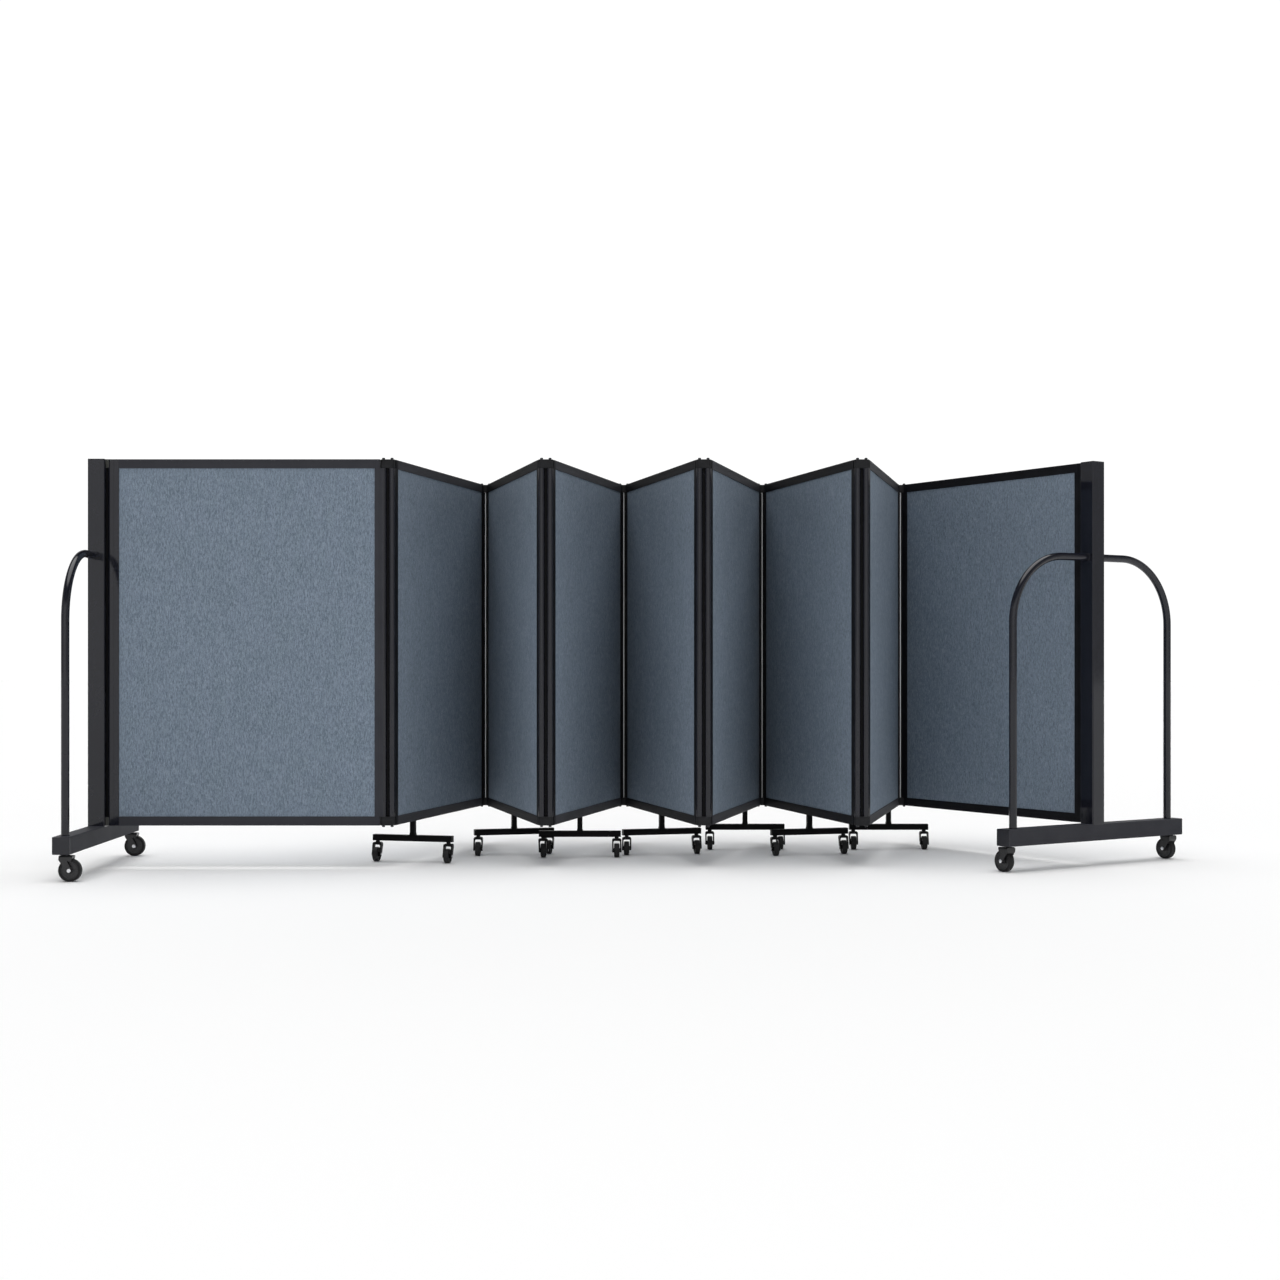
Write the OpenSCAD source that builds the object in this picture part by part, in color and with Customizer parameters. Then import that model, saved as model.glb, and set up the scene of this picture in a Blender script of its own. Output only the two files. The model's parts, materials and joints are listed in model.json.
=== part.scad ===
// Accordion folding partition on casters. Nine fabric leaves in black frames are joined by
// double-pin hinges. T-shaped legs carry the inner leaves, and a hooped frame holds each end.
// Leaves are numbered 1 to 9 from left to right, hinge 1 joins leaves 1 and 2, and the odd
// hinges are the near ones. The origin is on the floor, at the middle of the part's outline.

/* [Leaves] */
// Distance between the two pin axes of a leaf
leaf_l = 813; // [700:1:1000]
// Height of a leaf's top edge above the floor
leaf_top = 1219; // [1100:1:1900]
// Thickness of a leaf's frame
leaf_t = 19; // [18:0.5:22]
// Face height of the top and bottom rails
rail_h = 27; // [25:0.5:40]
// Wall thickness of the rails
rail_wall = 2; // [1.5:0.1:2.5]
// Face width of a stile, from its pin axis to the fabric
stile_w = 25.4; // [24:0.1:40]
// Depth that the board's edges go into the frame
board_tuck = 6; // [4:0.5:7]
// Depth of the fabric below the faces of the frame
board_recess = 2; // [1.5:0.1:3]
// Width of the thin line that runs along each rail
line_w = 1; // [0.5:0.1:2]
// Depth of that line
line_d = 0.5; // [0.2:0.1:0.8]
// Distance of that line from the rail's outer edge
line_at = 9; // [5:0.5:12]

/* [Hinges] */
// Open gap between the rounded edges of two leaves
leaf_gap = 6.4; // [4:0.1:12]
// Height of a hinge block
block_h = 26; // [20:1:40]
// Diameter of a hinge pin
pin_d = 8; // [6:0.5:9]
// Amount that a pin's head is wider than the pin
head_over = 1; // [1:0.5:3]
// Height of a pin's head
head_h = 5; // [2:0.5:6]
// Depth that a pin goes into its stile
pin_reach = 40; // [20:1:80]
// Thickness of the seal that closes the gap between two leaves
seal_t = 3; // [2:0.5:5]
// Thickness of the light strip along the seal's inner side
seal_face_t = 1; // [0.5:0.25:2]
// Width of the light strip
seal_face_w = 3; // [2:0.5:4]
// Gap between the seal and a leaf's rounded edge
seal_clear = 0.5; // [0.3:0.1:1]
// Depth that the seal's ends go into the hinge blocks
seal_tuck = 4; // [2:0.5:10]

/* [Fold] */
// Angle of leaves 2 to 8 to the partition's length
fold_angle = 75; // [65:0.5:76]
// Angle of the last leaf to the partition's length
last_angle = 57.5; // [45:0.5:70]

/* [T-legs] */
// Side of the square tube of a T-leg
leg_t = 19; // [17:0.5:22]
// Wall thickness of that tube
leg_wall = 1.5; // [1:0.1:2]
// Length of a T-leg's bar
leg_bar_l = 259; // [220:1:280]
// Thickness of the caps on the bar's ends
leg_cap_t = 1.5; // [1:0.25:3]
// Side of the square tube of a stem
leg_stem_t = 16; // [14:0.5:17]
// Height of a stem's foot, which widens to the bar's own width
leg_foot_h = 8; // [4:0.5:15]
// Diameter of the stud that fixes a stem to its leaf
leg_stud_d = 8; // [6:0.5:10]
// Height of that stud inside the rail
leg_stud_h = 12; // [8:0.5:14]
// Distance from the near pin to the T-leg of leaf 2
leg_2_at = 171; // [140:1:220]
// Distance from the near pin to the T-legs of leaves 3, 5 and 7
leg_odd_at = 400; // [390:1:420]
// Distance from the near pin to the T-leg of leaf 4
leg_4_at = 320; // [300:1:325]
// Distance from the near pin to the T-legs of leaves 6 and 8
leg_6_at = 575; // [550:1:600]
// Turn of the bars of leaves 4, 6 and 8 away from square to their leaf
leg_turn = 15; // [5:0.5:20]

/* [T-leg casters] */
// Height of the T-leg's bar above the floor
leg_caster_h = 64; // [60:1:75]
// Distance from the bar's end to the swivel axis
leg_caster_in = 13.5; // [12:0.5:20]
// Wheel diameter
leg_wheel_d = 44; // [38:0.5:46]
// Wheel width
leg_wheel_w = 16; // [12:0.5:18]
// Offset of the wheel's axle behind the swivel axis
leg_trail = 9; // [6:0.5:12]
// Thickness of a fork arm
leg_arm_t = 4; // [3:0.25:5]
// Thickness of the fork's roof
leg_roof_t = 8; // [3:0.5:9]
// Length of the round neck between the roof and the bar
leg_neck_h = 5; // [3:0.5:8]
// Diameter of the swivel pin
leg_pin_d = 8; // [6:0.5:9]
// Height of the swivel pin inside the bar
leg_pin_h = 14; // [10:0.5:14]
// Diameter of the axle
leg_axle_d = 6; // [4:0.5:8]

/* [End frames] */
// Side of the square tube of the base bar and the post
end_tube = 50; // [45:1:60]
// Wall thickness of that tube
end_wall = 2; // [1.5:0.1:3]
// Length of the base bar
end_bar_l = 742; // [700:1:900]
// Thickness of the caps on the tube's ends
end_cap_t = 3; // [2:0.5:5]
// Depth of the post's cap inside the tube
post_plug_h = 3; // [2:0.5:3]
// Gap between a post and the rounded edge of its leaf
post_gap = 4; // [3:0.5:8]
// Height of the two spacers in that gap
spacer_h = 25; // [22:1:40]
// Width across the leaf of the seal between the spacers
post_seal_w = 12; // [6:0.5:14]
// Diameter of the bolts that hold a post to its leaf
bolt_d = 6; // [5:0.5:7]
// Amount that a bolt's head is wider than the bolt
bolt_head_over = 6; // [4:0.5:6.5]
// Height of a bolt's head
bolt_head_h = 2.5; // [2:0.5:4]
// Amount that the hole in the post for reaching a bolt is wider than its head
access_over = 2; // [1:0.5:4]
// Depth of a bolt in its stile, past the pin axis
bolt_reach = 12; // [10:0.5:15]

/* [Hoops] */
// Diameter of the hoop's tube
hoop_d = 23; // [19:0.5:28]
// Wall thickness of that tube
hoop_wall = 2; // [1.5:0.1:3]
// Distance between the axes of the hoop's two uprights
hoop_w = 660; // [600:1:660]
// Height of the axis of the hoop's top above the floor
hoop_top = 930; // [800:1:1000]
// Radius of the hoop's bends, at the tube's axis
hoop_bend = 200; // [100:1:230]

/* [End casters] */
// Height of the base bar above the floor
end_caster_h = 77; // [77:1:90]
// Distance from the base bar's end to the swivel axis
end_caster_in = 25; // [24:0.5:40]
// Wheel diameter
end_wheel_d = 64; // [56:0.5:65]
// Wheel width
end_wheel_w = 20; // [16:0.5:22]
// Offset of the wheel's axle behind the swivel axis
end_trail = 19; // [14:0.5:22]
// Thickness of a fork arm
end_arm_t = 3.5; // [3:0.25:4.5]
// Thickness of the fork's roof
end_roof_t = 4.5; // [3:0.5:5]
// Length of the round neck between the roof and the bar
end_neck_h = 3; // [2:0.5:4]
// Diameter of the swivel pin
end_pin_d = 10; // [8:0.5:12]
// Height of the swivel pin inside the bar
end_pin_h = 30; // [20:1:38]
// Diameter of the axle
end_axle_d = 8; // [6:0.5:10]

/* [Wheels and forks] */
// Gap between a wheel's side and a fork arm
wheel_gap = 2.5; // [1.5:0.25:4]
// Rounding of the tread's edges
tread_round = 3; // [1:0.5:4]
// Radial height of the rim
rim_h = 6; // [4:0.5:7]
// Wall of a wheel's hub round its axle
hub_wall = 4; // [3:0.5:5]
// Depth of the web below the wheel's side
web_depth = 2.5; // [1:0.25:4]
// Number of arc recesses in each side of an end wheel
recesses = 3; // [2:1:5]
// Degrees that the recesses of one side cover together
recess_sweep = 260; // [180:10:290]
// Distance of a recess from the hub and from the rim
recess_margin = 4; // [3:0.5:5]
// Depth of an arc recess in the web
recess_depth = 1.5; // [0.5:0.25:2.5]
// Rounding of a fork's shoulders
shoulder = 6; // [3:0.5:8]
// Wall of a fork's neck round the swivel pin
neck_wall = 3; // [2:0.5:4]
// Amount that a fork's crown reaches past its neck
crown_over = 1.5; // [1:0.5:3]
// Wall of a fork's boss round the axle
boss_wall = 3.5; // [3:0.5:5]
// Drop of the hood below the fork's roof
hood_drop = 0.5; // [0.5:0.25:2]
// Height of an axle's head
axle_head_h = 1.5; // [1:0.25:3]
// Amount that an axle's head is wider than the axle
axle_head_over = 3; // [2:0.5:5]

/* [Clearances] */
// Radial clearance of pins, axles and bolts
pin_clear = 0.06; // [0.03:0.01:0.1]
// Clearance between a hinge block and the stile's notch
turn_clear = 0.8; // [0.5:0.1:1.5]
// Gap left between two pieces that are fitted together
fit_gap = 0.1; // [0.05:0.01:0.2]
// Gap between a fork's neck and the bar above it
seat_gap = 0.3; // [0.2:0.05:0.5]

/* [Hidden] */
$fn = 64;
leaves = 9;
frame_col = [0.20, 0.205, 0.215];
block_col = [0.27, 0.27, 0.28];
fabric_col = [0.42, 0.48, 0.54];
plastic_col = [0.10, 0.10, 0.11];
seal_face_col = [0.55, 0.55, 0.56];
steel_col = [0.75, 0.76, 0.78];

nose_r = leaf_t / 2;
pin_pitch = leaf_t + leaf_gap;
leaf_bottom = end_caster_h + end_tube;
leaf_h = leaf_top - leaf_bottom;
notch_h = block_h + turn_clear / 2;
board_t = leaf_t - 2 * board_recess;
groove_t = board_t + 2 * fit_gap;
groove_x = stile_w - board_tuck;
rail_l = leaf_l - 2 * stile_w - 2 * fit_gap;
rail_groove_z = rail_h - board_tuck;
head_d = pin_d + head_over;
leg_caster_x = leg_bar_l / 2 - leg_caster_in;
end_caster_y = end_bar_l / 2 - end_caster_in;
post_off = nose_r + post_gap + end_tube / 2;
bolt_head_d = bolt_d + bolt_head_over;
seal_w = leaf_gap - 2 * seal_clear;

// Cuts run past the faces that they open, and shapes that are joined overlap, by this much.
past = 1;

// A hood's flats follow a circle round the wheel, from straight up to this angle from +X.
hood_end = 58;
hood_step = 8;

// A caster size list holds, in this order: height under the bar, wheel diameter, wheel width,
// trail, arm thickness, roof thickness, neck height, swivel pin diameter, axle diameter.
LEG_CASTER = [leg_caster_h, leg_wheel_d, leg_wheel_w, leg_trail, leg_arm_t,
              leg_roof_t, leg_neck_h, leg_pin_d, leg_axle_d];
END_CASTER = [end_caster_h, end_wheel_d, end_wheel_w, end_trail, end_arm_t,
              end_roof_t, end_neck_h, end_pin_d, end_axle_d];

// Direction in which each T-leg caster trails, as drawn, in degrees from +X: the one at the
// bar's left end, then the one at its right end.
LEG_TRAILS = [[-118, -118], [-92, -97], [-80, -88], [92, -78], [-90, -90], [-80, -84], [-90, -90]];

// ---- Where the leaves stand ----

function leaf_angle(i) =
    i == 1 ? 0 :
    i == leaves ? -last_angle :
    i % 2 == 0 ? fold_angle : -fold_angle;

function along(angle) = [cos(angle), sin(angle)];

// Pin axes at the two ends of leaf i, counted from the outer end of leaf 1.
function leaf_start(i) = i == 1 ? [0, 0] : leaf_end(i - 1) + [pin_pitch, 0];
function leaf_end(i) = leaf_start(i) + leaf_l * along(leaf_angle(i));

// Middle of the end frame's post, counted from the same point.
left_post = [-post_off, 0];
right_post = leaf_end(leaves) + post_off * along(-last_angle);

// Outline of the whole part, and the middle of it, which is the origin.
x_low = left_post[0] - end_tube / 2;
x_high = right_post[0] + end_bar_l / 2 * sin(last_angle) + end_tube / 2 * cos(last_angle);
y_low = -end_bar_l / 2;
y_high = leaf_l * sin(fold_angle) + nose_r;
origin = [x_low + x_high, y_low + y_high] / 2;

module at_point(p, angle = 0) {
    translate([p[0] - origin[0], p[1] - origin[1], 0]) rotate(angle) children();
}

module at_leaf(i) {
    at_point(leaf_start(i), leaf_angle(i)) children();
}

// Distance of a T-leg from the start of its leaf. The near pin is the end of an odd leaf.
function leg_from_start(i) =
    i == 2 ? leg_2_at :
    i == 4 ? leg_4_at :
    i % 2 == 0 ? leg_6_at : leaf_l - leg_odd_at;

// Direction of a T-leg's bar, from +X.
function leg_angle(i) =
    leaf_angle(i) + (i % 2 == 0 ? -90 : 90) + (i % 2 == 0 && i > 2 ? leg_turn : 0);

function leg_point(i) = leaf_start(i) + leg_from_start(i) * along(leaf_angle(i));

module at_leg(i) {
    at_point(leg_point(i), leg_angle(i)) children();
}

module at_leg_caster(i, s) {
    side = s == "left" ? -1 : 1;
    p = leg_point(i) + side * leg_caster_x * along(leg_angle(i));
    at_point(p, LEG_TRAILS[i - 2][side < 0 ? 0 : 1]) children();
}

// An end frame is drawn with its leaf on the +X side and its base bar along Y.
module at_end(e) {
    if (e == "left") at_point(left_post) children();
    if (e == "right") at_point(right_post, 180 - last_angle) children();
}

// The right frame is turned round, so its front caster stands on the bar's +Y side.
module at_end_caster(e, s) {
    side = (s == "front") == (e == "left") ? -1 : 1;
    at_end(e) translate([0, side * end_caster_y, 0]) children();
}

// ---- Shapes that several pieces share ----

// Cylinder along X, from x to x + length.
module rod_x(x, length, r) {
    translate([x, 0, 0]) rotate([0, 90, 0]) cylinder(h = length, r = r);
}

// Cylinder along Y, centred on the origin.
module rod_y(length, r) {
    rotate([90, 0, 0]) cylinder(h = length, r = r, center = true);
}

// Outline that runs smoothly from one circle to another.
module tapered_outline(p1, r1, p2, r2) {
    d = p2 - p1;
    a = atan2(d[1], d[0]);
    b = acos((r1 - r2) / norm(d));
    translate(p1) circle(r = r1);
    translate(p2) circle(r = r2);
    polygon([p1 + r1 * along(a + b), p1 + r1 * along(a - b),
             p2 + r2 * along(a - b), p2 + r2 * along(a + b)]);
}

// Square tube along Y, centred, without its end caps.
module square_tube(side, wall, length) {
    inner = side - 2 * wall;
    difference() {
        cube([side, length, side], center = true);
        cube([inner, length + 2 * past, inner], center = true);
    }
}

// Cap for a square tube along Y, with a block inside the tube that takes a swivel pin from
// below. It is drawn with its outer face at y = 0 and the tube on the +Y side.
module pin_cap(side, wall, cap_t, pin_at, pin_size, pin_h) {
    inner = side - 2 * wall - 2 * fit_gap;
    block_l = 2 * (pin_at - cap_t);
    difference() {
        union() {
            translate([-side / 2, 0, -side / 2]) cube([side, cap_t, side]);
            translate([-inner / 2, cap_t - past, -inner / 2]) cube([inner, block_l + past, inner]);
        }
        translate([0, pin_at, -side / 2 - past])
            cylinder(h = past + pin_h + seat_gap, r = pin_size / 2 + pin_clear);
    }
}

// Stadium of a hinge block, along X between the two pin axes.
module hinge_outline() {
    difference() {
        union() {
            circle(r = nose_r);
            translate([pin_pitch, 0]) circle(r = nose_r);
            translate([0, -nose_r]) square([pin_pitch, leaf_t]);
        }
        for (x = [0, pin_pitch]) translate([x, 0]) circle(r = pin_d / 2 + pin_clear);
    }
}

// ---- Leaf frame ----

// Stile with its pin axis on the Z axis and its leaf on the +X side. A notched stile makes
// room for the hinge blocks, and a plain one takes the post's bolts.
module stile(notched) {
    groove_low = leaf_bottom + rail_groove_z;
    groove_h = leaf_h - 2 * rail_groove_z;
    difference() {
        translate([0, 0, leaf_bottom]) linear_extrude(leaf_h) difference() {
            union() {
                circle(r = nose_r);
                translate([0, -nose_r]) square([stile_w, leaf_t]);
            }
            circle(r = pin_d / 2 + pin_clear);
        }
        translate([groove_x, -groove_t / 2, groove_low]) cube([board_tuck + past, groove_t, groove_h]);
        if (notched) for (z = [leaf_bottom - past, leaf_top - notch_h])
            translate([-leaf_t, -leaf_t, z])
                cube([leaf_t + nose_r + turn_clear, 2 * leaf_t, notch_h + past]);
        else for (z = bolt_heights()) translate([0, 0, z])
            rod_x(-leaf_t, leaf_t + bolt_reach + pin_clear, bolt_d / 2 + pin_clear);
    }
}

// Rail with its outer edge at z = 0 and the board on the +Z side.
module rail() {
    x = stile_w + fit_gap;
    cut_l = rail_l + 2 * past;
    chamber_h = rail_groove_z - 2 * rail_wall;
    chamber_t = leaf_t - 2 * rail_wall;
    difference() {
        translate([x, -leaf_t / 2, 0]) cube([rail_l, leaf_t, rail_h]);
        translate([x - past, -groove_t / 2, rail_groove_z])
            cube([cut_l, groove_t, board_tuck + past]);
        translate([x - past, -chamber_t / 2, rail_wall]) cube([cut_l, chamber_t, chamber_h]);
        for (s = [-1, 1]) translate([x - past, s * leaf_t / 2 - line_d, line_at - line_w / 2])
            cube([cut_l, 2 * line_d, line_w]);
        children();
    }
}

module leaf_frame(i) {
    color(frame_col) at_leaf(i) {
        stile(i > 1);
        translate([leaf_l, 0, 0]) mirror([1, 0, 0]) stile(i < leaves);
        translate([0, 0, leaf_top]) mirror([0, 0, 1]) rail();
        translate([0, 0, leaf_bottom]) rail() {
            if (i > 1 && i < leaves) translate([leg_from_start(i), 0, -past])
                cylinder(h = rail_wall + 2 * past, r = leg_stud_d / 2 + pin_clear);
        }
    }
}

module leaf_fabric(i) {
    inset = groove_x + fit_gap;
    z = leaf_bottom + rail_groove_z + fit_gap;
    color(fabric_col) at_leaf(i) translate([inset, -board_t / 2, z])
        cube([leaf_l - 2 * inset, board_t, leaf_h - 2 * (rail_groove_z + fit_gap)]);
}

// ---- Hinge ----

// Upright bar midway between two leaves, from its back to its front face.
module seal_bar(width, back, front, ends_in, gap = 0) {
    translate([(pin_pitch - width) / 2 - gap, back - gap, leaf_bottom + block_h - ends_in - gap])
        cube([width + 2 * gap, front - back + 2 * gap, leaf_h - 2 * (block_h - ends_in - gap)]);
}

// Pin that hangs from its head. The head's underside lies just above z = 0.
module hinge_pin() {
    translate([0, 0, fit_gap]) cylinder(h = head_h - fit_gap, r = head_d / 2);
    translate([0, 0, -block_h - pin_reach])
        cylinder(h = block_h + pin_reach + 2 * fit_gap, r = pin_d / 2);
}

// The light strip is on the side to which the two leaves fold.
module hinge(i) {
    strip = i % 2 == 1 ? seal_t / 2 + fit_gap : -seal_t / 2 - fit_gap - seal_face_t;
    at_point(leaf_end(i)) {
        color(block_col) difference() {
            for (z = [leaf_bottom, leaf_top - block_h])
                translate([0, 0, z]) linear_extrude(block_h) hinge_outline();
            seal_bar(seal_w, -seal_t / 2, seal_t / 2, seal_tuck, fit_gap);
        }
        color(block_col) seal_bar(seal_w, -seal_t / 2, seal_t / 2, seal_tuck);
        color(seal_face_col) seal_bar(seal_face_w, strip, strip + seal_face_t, -fit_gap);
        color(frame_col) for (x = [0, pin_pitch]) {
            translate([x, 0, leaf_top]) hinge_pin();
            translate([x, 0, leaf_bottom]) mirror([0, 0, 1]) hinge_pin();
        }
    }
}

// ---- T-leg ----

// The stem stands on the middle of a bar that runs along X.
module leg(i) {
    bar_top = leg_caster_h + leg_t;
    stem_top = leaf_bottom;
    inner = leg_stem_t - 2 * leg_wall;
    foot = [[-leg_t / 2, -leg_wall], [leg_t / 2, -leg_wall], [leg_t / 2, 0],
            [leg_stem_t / 2, leg_foot_h], [-leg_stem_t / 2, leg_foot_h], [-leg_t / 2, 0]];
    at_leg(i) {
        color(frame_col) difference() {
            union() {
                translate([0, 0, leg_caster_h + leg_t / 2]) rotate(90)
                    square_tube(leg_t, leg_wall, leg_bar_l - 2 * (leg_cap_t + fit_gap));
                translate([-leg_stem_t / 2, -leg_stem_t / 2, bar_top - leg_wall])
                    cube([leg_stem_t, leg_stem_t, stem_top - bar_top + leg_wall]);
                translate([0, 0, bar_top]) intersection() {
                    rotate([90, 0, 0]) linear_extrude(leg_t, center = true) polygon(foot);
                    rotate([90, 0, 90]) linear_extrude(leg_t, center = true) polygon(foot);
                }
                translate([0, 0, stem_top - past])
                    cylinder(h = leg_stud_h + past, r = leg_stud_d / 2);
            }
            translate([-inner / 2, -inner / 2, bar_top - leg_t / 2])
                cube([inner, inner, stem_top - bar_top + leg_t / 2 - 2 * leg_wall]);
            for (s = [-1, 1]) translate([s * leg_caster_x, 0, leg_caster_h - past])
                cylinder(h = leg_wall + 2 * past, r = leg_pin_d / 2 + fit_gap);
        }
        color(plastic_col) for (a = [-90, 90]) rotate(a)
            translate([0, -leg_bar_l / 2, leg_caster_h + leg_t / 2])
                pin_cap(leg_t, leg_wall, leg_cap_t, leg_caster_in, leg_pin_d, leg_pin_h);
    }
}

// ---- Casters ----

// Fork with its swivel axis on the Z axis and its wheel behind it, on the +X side.
module caster_fork(size, pin_h, hooded) {
    height = size[0];
    wheel_r = size[1] / 2;
    trail = size[3];
    arm_t = size[4];
    roof_z = height - size[6];
    inner_w = size[2] + 2 * wheel_gap;
    outer_w = inner_w + 2 * arm_t;
    neck_r = size[7] / 2 + neck_wall;
    boss_r = size[8] / 2 + boss_wall;
    crown_r = neck_r + crown_over;
    wheel_mid = [trail, wheel_r];
    hood_out = roof_z - wheel_r - hood_drop;
    hood_in = wheel_r - rim_h;
    fork_l = 2 * (trail + hood_out);
    difference() {
        union() {
            intersection() {
                // outline seen from the side
                rotate([90, 0, 0]) linear_extrude(outer_w + 2 * past, center = true) {
                    tapered_outline([0, roof_z - crown_r], crown_r, wheel_mid, boss_r);
                    translate([0, roof_z - crown_r]) square([trail, crown_r]);
                    translate([-crown_r, roof_z - crown_r]) square(crown_r);
                    if (hooded) polygon(concat(
                        [for (a = [90:-hood_step:hood_end]) wheel_mid + hood_out * along(a)],
                        [for (a = [hood_end:hood_step:90]) wheel_mid + hood_in * along(a)]));
                }
                // outline seen from the front, with rounded shoulders
                rotate([90, 0, 90]) linear_extrude(fork_l, center = true) {
                    translate([-outer_w / 2, 0]) square([outer_w, roof_z - shoulder]);
                    translate([shoulder - outer_w / 2, 0]) square([outer_w - 2 * shoulder, roof_z]);
                    for (s = [-1, 1]) translate([s * (outer_w / 2 - shoulder), roof_z - shoulder])
                        circle(r = shoulder);
                }
            }
            translate([0, 0, roof_z - past]) cylinder(h = size[6] - seat_gap + past, r = neck_r);
            translate([0, 0, roof_z]) cylinder(h = size[6] + pin_h, r = size[7] / 2);
        }
        // room for the wheel
        translate([-fork_l / 2, -inner_w / 2, -past])
            cube([fork_l, inner_w, roof_z - size[5] + past]);
        translate([trail, 0, wheel_r]) rod_y(outer_w + 2 * past, size[8] / 2 + pin_clear);
    }
}

// Riveted axle through a fork's arms, with a head outside each of them.
module caster_axle(size) {
    outer_w = size[2] + 2 * wheel_gap + 2 * size[4];
    translate([size[3], 0, size[1] / 2]) {
        rod_y(outer_w + 2 * fit_gap + 2 * axle_head_h, size[8] / 2);
        for (s = [-1, 1]) translate([0, s * (outer_w / 2 + fit_gap + axle_head_h / 2), 0])
            rod_y(axle_head_h, (size[8] + axle_head_over) / 2);
    }
}

// Wheel with its axle along Y.
module caster_wheel(size, arcs) {
    r = size[1] / 2;
    half = size[2] / 2;
    bore_r = size[8] / 2 + pin_clear;
    hub_r = bore_r + hub_wall;
    hub_half = half + wheel_gap - seat_gap;
    rim_r = r - rim_h;
    web_half = half - web_depth;
    recess_in = hub_r + recess_margin;
    recess_w = rim_r - recess_margin - recess_in;
    translate([size[3], 0, r]) rotate([90, 0, 0]) difference() {
        rotate_extrude() {
            translate([bore_r, -hub_half]) square([hub_wall, 2 * hub_half]);
            translate([hub_r - past, -web_half]) square([rim_r - hub_r + 2 * past, 2 * web_half]);
            translate([rim_r, -half]) square([rim_h - tread_round, 2 * half]);
            translate([rim_r, tread_round - half]) square([rim_h, 2 * (half - tread_round)]);
            for (s = [-1, 1]) translate([r - tread_round, s * (half - tread_round)])
                circle(r = tread_round);
        }
        if (arcs > 0) for (k = [0:arcs - 1], s = [-1, 1])
            rotate(k * 360 / arcs) translate([0, 0, s * web_half])
                rotate_extrude(angle = recess_sweep / arcs)
                    translate([recess_in, -recess_depth]) square([recess_w, 2 * recess_depth]);
    }
}

module leg_caster(i, s) {
    at_leg_caster(i, s) {
        color(plastic_col) {
            caster_fork(LEG_CASTER, leg_pin_h, false);
            caster_wheel(LEG_CASTER, 0);
        }
        color(steel_col) caster_axle(LEG_CASTER);
    }
}

module end_fork(e, s) {
    at_end_caster(e, s) {
        color(plastic_col) caster_fork(END_CASTER, end_pin_h, true);
        color(steel_col) caster_axle(END_CASTER);
    }
}

module end_wheel(e, s) {
    color(plastic_col) at_end_caster(e, s) caster_wheel(END_CASTER, recesses);
}

// ---- End frames ----

function bolt_heights() = [leaf_bottom + spacer_h / 2, leaf_top - spacer_h / 2];

// Spacer between the post's face and the rounded edge of the leaf.
module spacer() {
    difference() {
        translate([end_tube / 2 + fit_gap, -leaf_t / 2, -spacer_h / 2])
            cube([post_gap + nose_r / 2, leaf_t, spacer_h]);
        translate([post_off, 0, -spacer_h]) cylinder(h = 2 * spacer_h, r = nose_r + fit_gap);
        rod_x(0, post_off, bolt_d / 2 + pin_clear);
    }
}

// Upright seal that closes the gap between the two spacers.
module post_seal() {
    low = leaf_bottom + spacer_h + fit_gap;
    difference() {
        translate([end_tube / 2 + fit_gap, -post_seal_w / 2, low])
            cube([post_gap + nose_r / 2, post_seal_w, leaf_h - 2 * (spacer_h + fit_gap)]);
        translate([post_off, 0, leaf_bottom]) cylinder(h = leaf_h, r = nose_r + fit_gap);
    }
}

// Bolt from inside the post into the stile. Its head bears on the wall next to the leaf.
module post_bolt() {
    seat = end_tube / 2 - end_wall - fit_gap;
    rod_x(seat - bolt_head_h, bolt_head_h, bolt_head_d / 2);
    rod_x(seat - past, post_off + bolt_reach - seat + past, bolt_d / 2);
}

module end_frame(e) {
    bar_z = end_caster_h + end_tube / 2;
    post_top = leaf_top - end_cap_t;
    post_h = post_top - leaf_bottom - fit_gap;
    inner = end_tube - 2 * end_wall;
    at_end(e) {
        color(frame_col) difference() {
            translate([0, 0, bar_z])
                square_tube(end_tube, end_wall, end_bar_l - 2 * (end_cap_t + fit_gap));
            for (s = [-1, 1]) translate([0, s * end_caster_y, end_caster_h - past])
                cylinder(h = end_wall + 2 * past, r = end_pin_d / 2 + fit_gap);
        }
        color(frame_col) difference() {
            translate([0, 0, post_top - post_h / 2]) rotate([90, 0, 0])
                square_tube(end_tube, end_wall, post_h);
            translate([0, 0, hoop_top]) rod_y(2 * end_tube, hoop_d / 2 + fit_gap);
            for (z = bolt_heights()) translate([0, 0, z]) {
                rod_x(0, end_tube, bolt_d / 2 + pin_clear);
                rod_x(-end_tube, end_tube, (bolt_head_d + access_over) / 2);
            }
        }
        color(plastic_col) {
            for (a = [0, 180]) rotate(a) translate([0, -end_bar_l / 2, bar_z])
                pin_cap(end_tube, end_wall, end_cap_t, end_caster_in, end_pin_d, end_pin_h);
            translate([-end_tube / 2, -end_tube / 2, post_top + fit_gap])
                cube([end_tube, end_tube, end_cap_t - fit_gap]);
            translate([fit_gap - inner / 2, fit_gap - inner / 2, post_top - post_plug_h])
                cube([inner - 2 * fit_gap, inner - 2 * fit_gap, post_plug_h + past]);
        }
        color(block_col) {
            for (z = bolt_heights()) translate([0, 0, z]) spacer();
            post_seal();
        }
        color(frame_col) for (z = bolt_heights()) translate([0, 0, z]) post_bolt();
    }
}

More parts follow.
